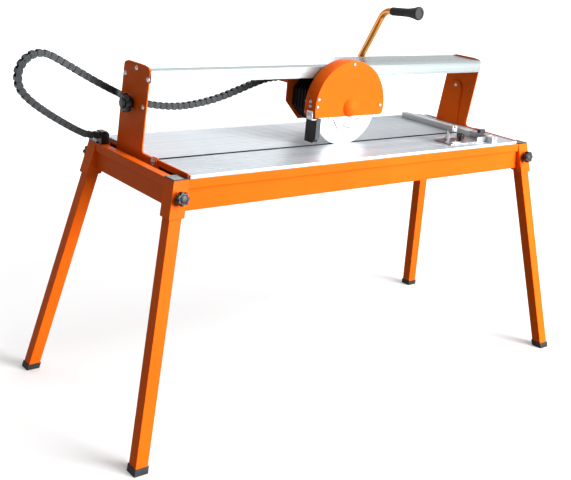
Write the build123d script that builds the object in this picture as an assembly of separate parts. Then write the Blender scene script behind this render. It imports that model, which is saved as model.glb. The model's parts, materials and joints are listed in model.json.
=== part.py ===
from build123d import *
import math
import os

# Bridge tile cutter on four removable legs, in millimetres.
# X runs along the table (the cut), Y to the back, Z up.
# The origin is on the floor, under the middle of the frame.

# ---------------------------------------------------------------- driving sizes
FRAME_LENGTH = 1140.0        # outside of the rim, along X
FRAME_WIDTH = 388.0          # outside of the rim, along Y
RIM_TOP = 607.0              # height of the rim above the floor
CUT_FROM_BACK = 241.0        # blade plane to the back of the rim
SHEET = 2.0                  # folded sheet of the rim

BAND = 20.0                  # the rim's top band, tall and deep
APRON_INSET = 6.0            # how far the apron sits behind the band
APRON_LONG = 70.0            # rim top to the bottom of the long aprons
APRON_END = 64.0             # the same at the two ends
RETURN = 15.0                # inward fold at the bottom of an apron

SOCKET = 38.0                # leg socket, outside
SOCKET_LENGTH = 79.0
SOCKET_GAP = 0.5             # round the leg, on each side
LEG = 30.0                   # leg tube, outside
LEG_WALL = 1.5
LEG_TOP_DROP = 10.0          # leg's top end below the rim top
SPLAY_X = 128.5              # how far a leg runs out to the floor
SPLAY_Y = 104.5
FOOT = 33.4                  # rubber foot, outside
FOOT_HEIGHT = 16.0
FOOT_SOLE = 4.0
CAP_THICK = 2.5

KNOB_R = 16.0                # leg clamp knob
KNOB_DROP = 36.0             # its axis below the rim top
STUD_R = 4.0
THREAD_GAP = 0.05            # screw in its hole, on the radius
TIP_GAP = 0.3                # clamp screw's tip off what it clamps

TABLE_THICK = 7.5
TABLE_INSET = 4.0            # table edge behind the rim's face
SLOT = 13.0                  # blade slot in the table
SLOT_SHIFT = 0.5             # its middle, to the front of the blade
GROOVE_PITCH = 13.0
GROOVE = 2.4
GROOVE_DEPTH = 0.8

END_PLATE = 3.0              # fixed end plates and the uprights
UPRIGHT_INSET = 35.0         # upright's outer face behind the rim's face
PLATE_GAP = 1.0              # between an upright and its end plate
PIVOT_DROP = -4.0            # pivot above the rim top is minus this
PIVOT_R = 5.0
RUNNING = 0.05               # running fit, on the radius
LOCK_Y = 104.0               # lock knob behind the blade plane
LOCK_Z = 113.0               # lock knob above the rim top
LOCK_KNOB_R = 22.0

BEAM_FRONT = 28.0            # beam's front face behind the blade plane
BEAM_DEPTH = 115.0
BEAM_HEIGHT = 32.0
BEAM_TOP = 201.0             # above the rim top
TRACK = 16.0                 # inside of the roller track
TRACK_MOUTH = 9.0
TRACK_LIP = 3.0
TRACK_DEPTH = 16.0
TRACK_DROP = 14.0            # track's axis below the beam's top
ROLLER_GAP = 0.3
LEAN = 24.5                  # how far the uprights lean to the front

BLADE_R = 100.0
BLADE_THICK = 2.2
BLADE_X = 12.0               # blade centre from the middle, at rest
BLADE_Z = 102.5              # blade centre above the rim top
BORE_R = 12.7
SHAFT_R = 8.0
GUARD_R = 112.5
GUARD_FRONT = 18.0           # guard's front face before the blade plane
GUARD_BACK = 24.0
GUARD_WALL = 2.5
GUARD_CHORD = 23.5           # flat bottom below the blade centre
MOTOR_FLATS = 116.0          # across the flats of the motor shell

CARRIAGE_GAP = 4.0           # carriage plate behind the beam
CARRIAGE_THICK = 4.0
CARRIAGE_LEFT = 74.0         # from the blade centre
CARRIAGE_RIGHT = 193.0
HANDLE_X = 178.0             # handle from the blade centre
HANDLE_R = 9.0

FENCE_X = 430.0              # working face of the fence
FENCE_WIDTH = 18.0
FENCE_HEIGHT = 15.0
FENCE_END = 185.0            # its front end from the middle
FENCE_BACK_END = 165.0

CHAIN_R = 8.0                # cable chain's envelope
CHAIN_BACK = 21.0            # its middle, behind the carriage plate

# ---------------------------------------------------------------- derived places
HALF_L = FRAME_LENGTH / 2
HALF_W = FRAME_WIDTH / 2
CUT_Y = HALF_W - CUT_FROM_BACK
TABLE_TOP = RIM_TOP + TABLE_THICK
UPRIGHT_X = HALF_L - UPRIGHT_INSET
END_X = UPRIGHT_X - END_PLATE - PLATE_GAP
TABLE_HALF = END_X - END_PLATE - 0.5
PIVOT_Z = RIM_TOP - PIVOT_DROP
BEAM_Y0 = CUT_Y + BEAM_FRONT
BEAM_Y1 = BEAM_Y0 + BEAM_DEPTH
BEAM_Z1 = RIM_TOP + BEAM_TOP
BEAM_Z0 = BEAM_Z1 - BEAM_HEIGHT
BEAM_HALF = UPRIGHT_X - END_PLATE
HEAD_Z = RIM_TOP + BLADE_Z
PLATE_Y0 = BEAM_Y1 + CARRIAGE_GAP
PLATE_Y1 = PLATE_Y0 + CARRIAGE_THICK
CHAIN_Y = PLATE_Y1 + CHAIN_BACK
TRACK_Z = BEAM_Z1 - TRACK_DROP
TRACK_Y0 = BEAM_Y1 - TRACK_LIP - TRACK_DEPTH
ROLLER_R = TRACK / 2 - ROLLER_GAP
LEG_TOP_X = HALF_L - SOCKET / 2
LEG_TOP_Y = HALF_W - SOCKET / 2
SLOPE_X = SPLAY_X / RIM_TOP
SLOPE_Y = SPLAY_Y / RIM_TOP
LEG_SIDES = {
    "front_left": (-1, -1),
    "front_right": (1, -1),
    "back_left": (-1, 1),
    "back_right": (1, 1),
}

os.makedirs("parts", exist_ok=True)


# ---------------------------------------------------------------- helpers
def save(name, *solids):
    """Write one node: one solid, or a group of separate ones."""
    pieces = []
    for shape in solids:
        pieces.extend(shape.solids())
    body = pieces[0] if len(pieces) == 1 else Compound(children=pieces)
    body.label = name
    export_step(body, f"parts/{name}.step")


def block(x0, x1, y0, y1, z0, z1):
    """A box between two corners."""
    size = Box(x1 - x0, y1 - y0, z1 - z0)
    return Pos((x0 + x1) / 2, (y0 + y1) / 2, (z0 + z1) / 2) * size


def rod(start, end, radius):
    """A round bar from one point to another."""
    line = Vector(end) - Vector(start)
    plane = Plane(origin=start, z_dir=line)
    return plane * extrude(Circle(radius), amount=line.length)


def rise(face, height):
    """A flat face, run up along Z."""
    return extrude(face, amount=height, dir=(0, 0, 1))


def across_x(face, x0, x1):
    """A face drawn in (y, z), run along X."""
    plane = Plane(origin=(x0, 0, 0), x_dir=(0, 1, 0), z_dir=(1, 0, 0))
    return extrude(plane * face, amount=x1 - x0, dir=(1, 0, 0))


def along_x(points, x0, x1):
    """A profile of (y, z) points, run along X."""
    return across_x(Polygon(*points, align=None), x0, x1)


def along_y(points, y0, y1):
    """A profile of (x, z) points, run along Y."""
    plane = Plane(origin=(0, y1, 0), x_dir=(1, 0, 0), z_dir=(0, -1, 0))
    profile = plane * Polygon(*points, align=None)
    return extrude(profile, amount=y1 - y0, dir=(0, -1, 0))


def mirror_x(shape):
    return mirror(shape, about=Plane.YZ)


def mirror_y(shape):
    return mirror(shape, about=Plane.XZ)


def leg_axis(z):
    """Middle of the back right leg at a height."""
    run = RIM_TOP - z
    return LEG_TOP_X + SLOPE_X * run, LEG_TOP_Y + SLOPE_Y * run


def slanted(size, z0, z1):
    """A square bar on the line of the back right leg."""
    x0, y0 = leg_axis(z0)
    x1, y1 = leg_axis(z1)
    face = Pos(x0, y0, z0) * Rectangle(size, size)
    return Solid.extrude(face.face(), Vector(x1 - x0, y1 - y0, z1 - z0))


def to_corner(shape, side_x, side_y):
    """Mirror a back right piece to its own corner."""
    if side_x < 0:
        shape = mirror_x(shape)
    if side_y < 0:
        shape = mirror_y(shape)
    return shape


def star_knob(radius, thick, hub_r, hub_h, lobes=8):
    """A star grip on a hub; the hub's face is at z 0."""
    waist = radius * 0.84
    lobe_r = radius * 0.24
    grip = Circle(waist)
    for k in range(lobes):
        turn = 360 * k / lobes
        grip += Rot(0, 0, turn) * (Pos(radius - lobe_r, 0) * Circle(lobe_r))
    body = Pos(0, 0, hub_h) * rise(grip, thick)
    body += Cylinder(hub_r, hub_h, align=(Align.CENTER, Align.CENTER, Align.MIN))
    button = Pos(0, 0, hub_h + thick) * Cylinder(
        radius * 0.5, 1.6, align=(Align.CENTER, Align.CENTER, Align.MIN)
    )
    return body + button


def stud(radius, length):
    """A screw from z 0 down."""
    return Pos(0, 0, -length / 2) * Cylinder(radius, length)


def dome(radius, height):
    """A round screw head, its flat face at z 0."""
    ball_r = (radius**2 + height**2) / (2 * height)
    ball = Pos(0, 0, height - ball_r) * Sphere(ball_r)
    return ball & (Pos(0, 0, height) * Box(3 * radius, 3 * radius, 2 * height))


def facing(origin, direction):
    """A placement whose z axis looks along direction."""
    return Plane(origin=origin, z_dir=direction).location


# ---------------------------------------------------------------- welded rim
def folded(length_half, face, apron_drop):
    """A folded rail of (across, z) points; face is its outer face."""
    back = face - BAND
    apron = face - APRON_INSET
    lip = RIM_TOP - BAND
    foot = RIM_TOP - apron_drop
    points = [
        (back, RIM_TOP),
        (face, RIM_TOP),
        (face, lip),
        (apron, lip),
        (apron, foot),
        (apron - RETURN, foot),
        (apron - RETURN, foot + SHEET),
        (apron - SHEET, foot + SHEET),
        (apron - SHEET, lip + SHEET),
        (face - SHEET, lip + SHEET),
        (face - SHEET, RIM_TOP - SHEET),
        (back, RIM_TOP - SHEET),
    ]
    return points, length_half


def rim_rails():
    """Four folded rails, cut where they meet the sockets."""
    points, half = folded(HALF_L - 10, HALF_W, APRON_LONG)
    back = along_x(points, -half, half)
    points, half = folded(HALF_W - 10, HALF_L, APRON_END)
    right = along_y(points, -half, half)
    z0 = RIM_TOP - SOCKET_LENGTH - 20
    post = slanted(SOCKET, z0, RIM_TOP + 20)
    posts = [to_corner(post, sx, sy) for sx, sy in LEG_SIDES.values()]
    rails = [back, mirror_y(back), right, mirror_x(right)]
    trimmed = []
    for rail in rails:
        for piece in posts:
            rail = rail - piece
        trimmed.append(max(rail.solids(), key=lambda s: s.volume))
    return trimmed


def leg_knob_plane():
    """Where a leg's knob sits: back face of the back right socket."""
    z = RIM_TOP - KNOB_DROP
    x, y = leg_axis(z)
    return Plane(
        origin=(x, y + SOCKET / 2, z),
        x_dir=(1, 0, 0),
        z_dir=Vector(0, 1, SLOPE_Y),
    )


def socket():
    """One slanted socket for the back right leg."""
    z0 = RIM_TOP - SOCKET_LENGTH
    tube = slanted(SOCKET, z0, RIM_TOP)
    tube -= slanted(LEG + 2 * SOCKET_GAP, z0 - 5, RIM_TOP + 5)
    hole = leg_knob_plane() * stud(STUD_R + THREAD_GAP, 12)
    return tube - hole


def socket_cap():
    """A moulded cap: a plate with a plug in the tube."""
    plug = slanted(LEG + 2 * SOCKET_GAP - 0.4, RIM_TOP - 6, RIM_TOP)
    x, y = leg_axis(RIM_TOP)
    plate = Pos(x, y, RIM_TOP + CAP_THICK / 2) * Box(
        SOCKET + 0.6, SOCKET + 0.6, CAP_THICK
    )
    rim = plate.edges().group_by(Axis.Z)[-1]
    return chamfer(rim, 1.0) + plug


def leg():
    """One square tube leg."""
    top = RIM_TOP - LEG_TOP_DROP
    tube = slanted(LEG, FOOT_SOLE, top)
    return tube - slanted(LEG - 2 * LEG_WALL, FOOT_SOLE - 1, top + 1)


def foot():
    """One rubber foot, with a pocket for the leg."""
    x, y = leg_axis(0)
    shoe = slanted(FOOT, 0, FOOT_HEIGHT)
    return shoe - slanted(LEG, FOOT_SOLE, FOOT_HEIGHT + 2)


def leg_knob():
    """A star knob with a stud that stops just off the leg."""
    wall = SOCKET / 2 - LEG / 2
    tilt = math.cos(math.atan(SLOPE_Y))
    reach = wall * tilt - TIP_GAP
    knob = Pos(0, 0, 0.6) * star_knob(KNOB_R, 13, 8, 5)
    knob += stud(STUD_R, reach)
    knob += Cylinder(STUD_R, 2)
    return leg_knob_plane() * knob


save("rim_rails", *rim_rails())
SIDES = list(LEG_SIDES.values())
save("leg_sockets", *[to_corner(socket(), sx, sy) for sx, sy in SIDES])
save("socket_caps", *[to_corner(socket_cap(), sx, sy) for sx, sy in SIDES])
for side, (side_x, side_y) in LEG_SIDES.items():
    save(f"leg_{side}", to_corner(leg(), side_x, side_y))
    save(f"foot_{side}", to_corner(foot(), side_x, side_y))
    save(f"leg_knob_{side}", to_corner(leg_knob(), side_x, side_y))

# ---------------------------------------------------------------- water tray
TRAY_X = HALF_L - 50
TRAY_Y = HALF_W - APRON_INSET - SHEET - 1
TRAY_Z0 = RIM_TOP - APRON_LONG + SHEET
TRAY_Z1 = RIM_TOP - 8
TRAY_WALL = 1.5
DRAIN_X = -TRAY_X + 45
DRAIN_R = 10.0
PUMP_X = TRAY_X - 60
PUMP_Y = HALF_W - 70


def water_tray():
    """A sheet tub that rests on the long rails' bottom folds."""
    tub = block(-TRAY_X, TRAY_X, -TRAY_Y, TRAY_Y, TRAY_Z0, TRAY_Z1)
    edge_x = TRAY_X - TRAY_WALL
    edge_y = TRAY_Y - TRAY_WALL
    floor = TRAY_Z0 + TRAY_WALL
    tub -= block(-edge_x, edge_x, -edge_y, edge_y, floor, TRAY_Z1 + 1)
    drain = Pos(DRAIN_X, 0, TRAY_Z0) * Cylinder(DRAIN_R, 10)
    return tub - drain


def drain_plug():
    """A rubber bung in the tray's drain."""
    shaft = Pos(DRAIN_X, 0, TRAY_Z0) * Cylinder(DRAIN_R - 0.1, 9)
    head = Pos(DRAIN_X, 0, TRAY_Z0 - 2.5) * Cylinder(DRAIN_R + 4, 5)
    return shaft + head - (Pos(DRAIN_X, 0, TRAY_Z0 - 5) * Cylinder(5, 4))


def pump():
    """A small submersible pump with its outlet spigot."""
    floor = TRAY_Z0 + TRAY_WALL
    body = Pos(PUMP_X, PUMP_Y, floor + 19) * Cylinder(24, 38)
    body += block(
        PUMP_X - 34, PUMP_X, PUMP_Y - 18, PUMP_Y + 18, floor, floor + 26
    )
    spigot = Pos(PUMP_X, PUMP_Y, floor + 42) * Cylinder(5, 12)
    return body + spigot - (Pos(PUMP_X, PUMP_Y, floor + 44) * Cylinder(3, 12))


save("water_tray", water_tray())
save("drain_plug", drain_plug())
save("pump_body", pump())


# ---------------------------------------------------------------- table
def table_panel(y0, y1):
    """A ribbed aluminium panel, grooved along the cut."""
    panel = block(-TABLE_HALF, TABLE_HALF, y0, y1, RIM_TOP, TABLE_TOP)
    count = int((y1 - y0 - GROOVE_PITCH) / GROOVE_PITCH)
    start = (y0 + y1 - (count - 1) * GROOVE_PITCH) / 2
    for k in range(count):
        y = start + k * GROOVE_PITCH
        panel -= block(
            -TABLE_HALF - 1,
            TABLE_HALF + 1,
            y - GROOVE / 2,
            y + GROOVE / 2,
            TABLE_TOP - GROOVE_DEPTH,
            TABLE_TOP + 1,
        )
    return panel


SLOT_Y0 = CUT_Y - SLOT / 2 - SLOT_SHIFT
SLOT_Y1 = SLOT_Y0 + SLOT
save("table_front", table_panel(-HALF_W + TABLE_INSET, SLOT_Y0))
save("table_back", table_panel(SLOT_Y1, HALF_W - TABLE_INSET))


# ---------------------------------------------------------------- fixed end plates
LOCK_AT = (CUT_Y + LOCK_Y, RIM_TOP + LOCK_Z)
LUG_R = 20.0
LUG_BACK = 32.0
FLANGE_TOP = TABLE_TOP + 2.0


def end_plate():
    """The right end's fixed plate: a strip, a lug and a folded ledge."""
    lock_y, lock_z = LOCK_AT
    inner_y = -HALF_W + BAND + 2
    strip = Polygon(
        (inner_y, RIM_TOP - 4),
        (inner_y, RIM_TOP),
        (-HALF_W + 9, RIM_TOP),
        (-HALF_W + 9, FLANGE_TOP - 1),
        (-HALF_W + 13, FLANGE_TOP),
        (lock_y + LUG_BACK, FLANGE_TOP),
        (lock_y + LUG_BACK, RIM_TOP - 4),
        align=None,
    )
    pivot_pad = Pos(CUT_Y, PIVOT_Z - 5) * RectangleRounded(30, 26, 8)
    arm = Polygon(
        (lock_y - LUG_R, RIM_TOP),
        (lock_y - LUG_R, lock_z),
        (lock_y + 2, lock_z),
        (lock_y + LUG_BACK, RIM_TOP),
        align=None,
    )
    top = Pos(lock_y, lock_z) * Circle(LUG_R)
    gusset = Polygon(
        (lock_y - LUG_R, lock_z),
        (lock_y, lock_z + LUG_R),
        (lock_y + LUG_R, lock_z),
        (lock_y + LUG_BACK, RIM_TOP),
        align=None,
    )
    face = strip + pivot_pad + arm + top + gusset
    plate = across_x(face, END_X - END_PLATE, END_X)
    ledge = block(
        END_X - 30, END_X - 1, -HALF_W + 24, HALF_W - 24, RIM_TOP - 4, RIM_TOP
    )
    plate = plate + ledge
    bore = rod((END_X - 40, CUT_Y, PIVOT_Z), (END_X + 5, CUT_Y, PIVOT_Z), PIVOT_R)
    return plate - bore


def pivot_bolt():
    """The right pivot: a shoulder bolt with a domed head outside."""
    head_x = UPRIGHT_X + 0.4
    shank = rod((END_X - END_PLATE, CUT_Y, PIVOT_Z), (head_x, CUT_Y, PIVOT_Z), PIVOT_R)
    head = facing((head_x, CUT_Y, PIVOT_Z), (1, 0, 0)) * dome(8, 4)
    collar = rod(
        (END_X, CUT_Y, PIVOT_Z), (END_X + PLATE_GAP - 0.2, CUT_Y, PIVOT_Z), PIVOT_R + 3
    )
    return shank + head + collar


save("end_plate_left", mirror_x(end_plate()))
save("end_plate_right", end_plate())
save("pivot_bolts", mirror_x(pivot_bolt()), pivot_bolt())

# ---------------------------------------------------------------- tilting bridge
FRONT_TOP = BEAM_Y0
BACK_TOP = BEAM_Y1
UPRIGHT_TOP = BEAM_Z1 + 4
FLANGE_END = CUT_Y - 12.0
SCREW_PORTS = (
    (BEAM_Y0 + 7, BEAM_Z0 + 7),
    ((BEAM_Y0 + BEAM_Y1) / 2, BEAM_Z1 - 7.5),
    (BEAM_Y1 - 8, BEAM_Z0 + 5.5),
)
STOP_SCREW_AT = (CUT_Y + 52, RIM_TOP + 113)


def upright():
    """The right leaning plate: a blade with a foot to the front."""
    low = RIM_TOP - 13
    front_low = FRONT_TOP + LEAN
    back_low = BACK_TOP + LEAN * 1.15
    outline = Polygon(
        (FLANGE_END, low),
        (FLANGE_END, FLANGE_TOP),
        (front_low, FLANGE_TOP),
        (FRONT_TOP, UPRIGHT_TOP - 3),
        (FRONT_TOP + 30, UPRIGHT_TOP),
        (BACK_TOP - 20, UPRIGHT_TOP),
        (BACK_TOP, UPRIGHT_TOP - 5),
        (back_low, low),
        align=None,
    )
    corners = outline.vertices()
    inner = corners.sort_by_distance((front_low, FLANGE_TOP))[0]
    outline = fillet(inner, 10)
    tops = [
        outline.vertices().sort_by_distance((FRONT_TOP, UPRIGHT_TOP - 3))[0],
        outline.vertices().sort_by_distance((BACK_TOP, UPRIGHT_TOP - 5))[0],
    ]
    outline = fillet(tops, 11)
    plate = across_x(outline, UPRIGHT_X - END_PLATE, UPRIGHT_X)
    lock_y, lock_z = LOCK_AT
    x0 = UPRIGHT_X - 10
    x1 = UPRIGHT_X + 10
    plate -= rod((x0, CUT_Y, PIVOT_Z), (x1, CUT_Y, PIVOT_Z), PIVOT_R + RUNNING)
    plate -= rod((x0, lock_y, lock_z), (x1, lock_y, lock_z), STUD_R + THREAD_GAP)
    for y, z in SCREW_PORTS:
        plate -= rod((x0, y, z), (x1, y, z), 3.2)
    y, z = STOP_SCREW_AT
    return plate - rod((x0, y, z), (x1, y, z), 3.0)


def beam():
    """The rail: a hollow extrusion with a roller track at its back."""
    top_points = [
        (BEAM_Y0, BEAM_Z0),
        (BEAM_Y0, BEAM_Z1 - 5),
        (BEAM_Y0 + 5, BEAM_Z1),
        (BEAM_Y1 - 6, BEAM_Z1),
        (BEAM_Y1, BEAM_Z1 - 5),
        (BEAM_Y1, BEAM_Z0),
    ]
    bar = along_x(top_points, -BEAM_HALF, BEAM_HALF)
    cuts = []
    for k in range(6):
        y = BEAM_Y0 + 16 + k * 15.5
        cuts.append((y, y + 3, BEAM_Z1 - 1.0, BEAM_Z1 + 1))
    cuts.append((BEAM_Y0 - 1, BEAM_Y0 + 0.8, BEAM_Z0 + 5, BEAM_Z0 + 7))
    cuts.append((BEAM_Y0 + 14, BEAM_Y0 + 43, BEAM_Z0 + 3, BEAM_Z1 - 4))
    cuts.append((BEAM_Y0 + 46, BEAM_Y0 + 69, BEAM_Z0 + 3, BEAM_Z1 - 15))
    cuts.append((BEAM_Y0 + 72, TRACK_Y0 - 3, BEAM_Z0 + 3, BEAM_Z1 - 4))
    half = TRACK / 2
    mouth = TRACK_MOUTH / 2
    lip_y = BEAM_Y1 - TRACK_LIP
    cuts.append((TRACK_Y0, lip_y, TRACK_Z - half, TRACK_Z + half))
    cuts.append((lip_y - 1, BEAM_Y1 + 1, TRACK_Z - mouth, TRACK_Z + mouth))
    for y0, y1, z0, z1 in cuts:
        bar -= block(-BEAM_HALF - 1, BEAM_HALF + 1, y0, y1, z0, z1)
    for y, z in SCREW_PORTS:
        for end in (-1, 1):
            start = (end * (BEAM_HALF + 1), y, z)
            stop = (end * (BEAM_HALF - 22), y, z)
            bar -= rod(start, stop, 3.05)
    return bar


def bridge_screws():
    """Domed screws into the beam's ends, and one stop screw a side."""
    made = []
    for y, z in SCREW_PORTS:
        shank = rod((BEAM_HALF - 18, y, z), (UPRIGHT_X + 0.5, y, z), 3.0)
        head = facing((UPRIGHT_X, y, z), (1, 0, 0)) * dome(5.5, 3.2)
        made.append(shank + head)
    y, z = STOP_SCREW_AT
    shank = rod((UPRIGHT_X - END_PLATE - 0.4, y, z), (UPRIGHT_X + 0.5, y, z), 2.95)
    made.append(shank + facing((UPRIGHT_X, y, z), (1, 0, 0)) * dome(4.5, 2.5))
    return made + [mirror_x(screw) for screw in made]


def tilt_knob():
    """The right lock knob; its stud's tip bears on the fixed lug."""
    knob = star_knob(LOCK_KNOB_R, 13, 12, 8, lobes=7)
    boss = Pos(0, 0, 22.6) * Cylinder(
        8, 6, align=(Align.CENTER, Align.CENTER, Align.MIN)
    )
    knob = Pos(0, 0, 0.6) * (knob + boss)
    reach = END_PLATE + PLATE_GAP - TIP_GAP
    knob += stud(STUD_R, reach) + Cylinder(STUD_R, 2)
    return facing((UPRIGHT_X, *LOCK_AT), (1, 0, 0)) * knob


save("upright_left", mirror_x(upright()))
save("upright_right", upright())
save("beam", beam())
save("bridge_screws", *bridge_screws())
save("tilt_knob_left", mirror_x(tilt_knob()))
save("tilt_knob_right", tilt_knob())

# ---------------------------------------------------------------- saw head
GUARD_Y0 = CUT_Y - GUARD_FRONT
GUARD_Y1 = CUT_Y + GUARD_BACK
COVER_THICK = 3.0
GUARD_Z0 = HEAD_Z - GUARD_CHORD
MOTOR_Y0 = GUARD_Y1
MOTOR_END = 6.0
BEARING_R = 16.0
CLAMP_FIT = 0.02             # a close fit on one body, on the radius
ROLLER_X = (BLADE_X - 52, BLADE_X + 150)


def across_y(face, y0, y1):
    """A face drawn in (x, z) about the blade's centre, run along Y."""
    plane = Plane(origin=(BLADE_X, y1, HEAD_Z), x_dir=(1, 0, 0), z_dir=(0, -1, 0))
    return extrude(plane * face, amount=y1 - y0, dir=(0, -1, 0))


def guard_outline(radius):
    """A disc with a flat bottom and a square left shoulder."""
    low = -GUARD_CHORD
    disc = Circle(radius)
    keep = Pos(0, radius + low) * Rectangle(3 * radius, 2 * radius)
    disc = disc & keep
    shoulder = Polygon(
        (-radius, 0),
        (-radius, low + 16),
        (-radius + 16, low),
        (-radius + 40, low),
        (-radius + 40, 0),
        align=None,
    )
    outline = disc + shoulder
    corner = outline.vertices().sort_by_distance((radius, low))[0]
    return fillet(corner, 10)


def guard_shell():
    """The orange hood: back wall and rim."""
    hood = across_y(guard_outline(GUARD_R), GUARD_Y0 + COVER_THICK, GUARD_Y1)
    room = across_y(
        guard_outline(GUARD_R - GUARD_WALL), GUARD_Y0, GUARD_Y1 - GUARD_WALL
    )
    below = block(
        BLADE_X - 88,
        BLADE_X + 88,
        GUARD_Y0,
        GUARD_Y1 - GUARD_WALL,
        GUARD_Z0 - 5,
        GUARD_Z0 + 10,
    )
    hood = hood - room - below
    shaft_hole = across_y(Circle(22), GUARD_Y0, GUARD_Y1 + 5)
    return hood - shaft_hole


COVER_SCREWS = ((90, 105.0), (0, 102.0), (168, 105.0), (178, 105.0))


def guard_cover():
    """The hood's front plate with its domed hub cap."""
    plate = across_y(guard_outline(GUARD_R), GUARD_Y0, GUARD_Y0 + COVER_THICK)
    hub = facing((BLADE_X, GUARD_Y0 + 0.5, HEAD_Z - 2), (0, -1, 0)) * dome(24, 12.5)
    hollow = facing((BLADE_X, GUARD_Y0 + 0.5, HEAD_Z - 2), (0, -1, 0)) * dome(22, 10.5)
    opening = across_y(Pos(0, -2) * Circle(21), GUARD_Y0 - 1, GUARD_Y0 + 5)
    cover = plate - opening + (hub - hollow)
    for angle, radius in COVER_SCREWS:
        spot = Pos(*polar(angle, radius)) * Circle(2.1)
        cover -= across_y(spot, GUARD_Y0 - 1, GUARD_Y0 + 5)
    return cover


def polar(angle, radius):
    turn = math.radians(angle)
    return radius * math.cos(turn), radius * math.sin(turn)


def guard_screws():
    """The screws that hold the cover on."""
    made = []
    for angle, radius in COVER_SCREWS:
        x, z = polar(angle, radius)
        place = facing((BLADE_X + x, GUARD_Y0, HEAD_Z + z), (0, -1, 0))
        made.append(place * (dome(4.2, 2.4) + stud(2.0, 2.8)))
    return made


def octagon(flats, round_r):
    """An eight-sided face with flats on top and at the sides."""
    face = RegularPolygon(flats / 2, 8, major_radius=False, rotation=22.5)
    return fillet(face.vertices(), round_r)


def motor_shell():
    """The ribbed motor casing, open in its middle for the works."""
    y0, y1 = MOTOR_Y0, PLATE_Y0
    core = across_y(octagon(MOTOR_FLATS - 6, 8), y0, y1)
    for k in range(9):
        y = y0 + 6 + k * 12
        core += across_y(octagon(MOTOR_FLATS, 8), y, y + 7)
    core -= across_y(Circle(46), y0 + MOTOR_END, y1 - MOTOR_END)
    for y in (y0, y1 - MOTOR_END):
        core -= across_y(Circle(BEARING_R), y, y + MOTOR_END)
    return core


def motor_bearings():
    """Two ball bearings, as plain rings, one in each end of the casing."""
    made = []
    for y in (MOTOR_Y0, PLATE_Y0 - MOTOR_END):
        ring = Circle(BEARING_R - CLAMP_FIT) - Circle(SHAFT_R + RUNNING)
        made.append(across_y(ring, y + 0.5, y + MOTOR_END - 0.5))
    return made


def motor_stator():
    """The wound iron ring that drives the rotor."""
    ring = across_y(Circle(45.9) - Circle(27), MOTOR_Y0 + 24, PLATE_Y0 - 24)
    slots = 12
    for k in range(slots):
        spot = Rot(0, 0, 360 * k / slots) * (Pos(33, 0) * Rectangle(10, 4))
        ring -= across_y(spot, MOTOR_Y0 + 20, PLATE_Y0 - 20)
    return ring


def rotor():
    """Shaft, rotor drum and cooling fan, as one balanced piece."""
    shaft = across_y(Circle(SHAFT_R), CUT_Y - 16, PLATE_Y0 - 1)
    drum = across_y(Circle(26), MOTOR_Y0 + 24, PLATE_Y0 - 24)
    disc = across_y(Circle(38), PLATE_Y0 - 18, PLATE_Y0 - 16)
    for k in range(6):
        fin = Rot(0, 0, 60 * k) * (Pos(24, 0) * Rectangle(24, 2))
        disc += across_y(fin, PLATE_Y0 - 18, PLATE_Y0 - 9)
    return shaft + drum + disc


def blade():
    """A continuous-rim diamond blade with slanted cooling vents."""
    half = BLADE_THICK / 2
    disc = across_y(Circle(BLADE_R) - Circle(BORE_R), CUT_Y - half, CUT_Y + half)
    core = across_y(Circle(BLADE_R - 8), CUT_Y - half, CUT_Y - half + 0.3)
    core += across_y(Circle(BLADE_R - 8), CUT_Y + half - 0.3, CUT_Y + half)
    disc -= core
    for k in range(9):
        vent = Pos(56, 0) * (Rot(0, 0, 62) * SlotOverall(34, 3.2))
        cut = Rot(0, 0, 40 * k) * vent
        disc -= across_y(cut, CUT_Y - 3, CUT_Y + 3)
    return disc


def flanges():
    """Two clamp washers, one each side of the blade."""
    half = BLADE_THICK / 2 - 0.3
    front = across_y(Circle(30) - Circle(SHAFT_R), CUT_Y - half - 6, CUT_Y - half)
    back = across_y(Circle(30) - Circle(SHAFT_R), CUT_Y + half, CUT_Y + half + 6)
    pilot = across_y(Circle(BORE_R) - Circle(SHAFT_R), CUT_Y - half, CUT_Y + half)
    return front, back + pilot


def arbor_nut():
    """The left-hand nut on the shaft's end."""
    face = RegularPolygon(12, 6, major_radius=False) - Circle(SHAFT_R)
    y1 = CUT_Y - BLADE_THICK / 2 + 0.3 - 6
    return across_y(face, y1 - 8, y1)


def carriage_plate():
    """The orange plate behind the beam that carries the motor."""
    left = -CARRIAGE_LEFT
    face = Polygon(
        (left, -14),
        (left, BEAM_Z1 - HEAD_Z - 4),
        (HANDLE_X - 19, BEAM_Z1 - HEAD_Z - 4),
        (HANDLE_X - 13, HANDLE_CLAMP[1] + 3 - HEAD_Z),
        (CARRIAGE_RIGHT, HANDLE_CLAMP[1] + 3 - HEAD_Z),
        (CARRIAGE_RIGHT, 34),
        (MOTOR_FLATS / 2 + 10, 10),
        (MOTOR_FLATS / 2 + 6, -24),
        (30, -62),
        (-30, -62),
        align=None,
    )
    plate = across_y(face, PLATE_Y0, PLATE_Y1)
    tab_x = BLADE_X + left
    chain_tab = block(tab_x, tab_x + 4, PLATE_Y1, CHAIN_Y + 12, 742, 766)
    x = BLADE_X + HANDLE_X
    clamp = block(x - 14, x + 14, PLATE_Y1, HANDLE_Y + 12, *HANDLE_CLAMP)
    clamp -= rod((x, HANDLE_Y, 700), (x, HANDLE_Y, 790), HANDLE_R + CLAMP_FIT)
    plate = plate + chain_tab + clamp
    for x in ROLLER_X:
        plate -= rod((x, PLATE_Y0 - 5, TRACK_Z), (x, PLATE_Y1 + 5, TRACK_Z), 3.05)
    return plate


HANDLE_Y = PLATE_Y1 + HANDLE_R + 2
HANDLE_CLAMP = (738.0, 776.0)


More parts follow.
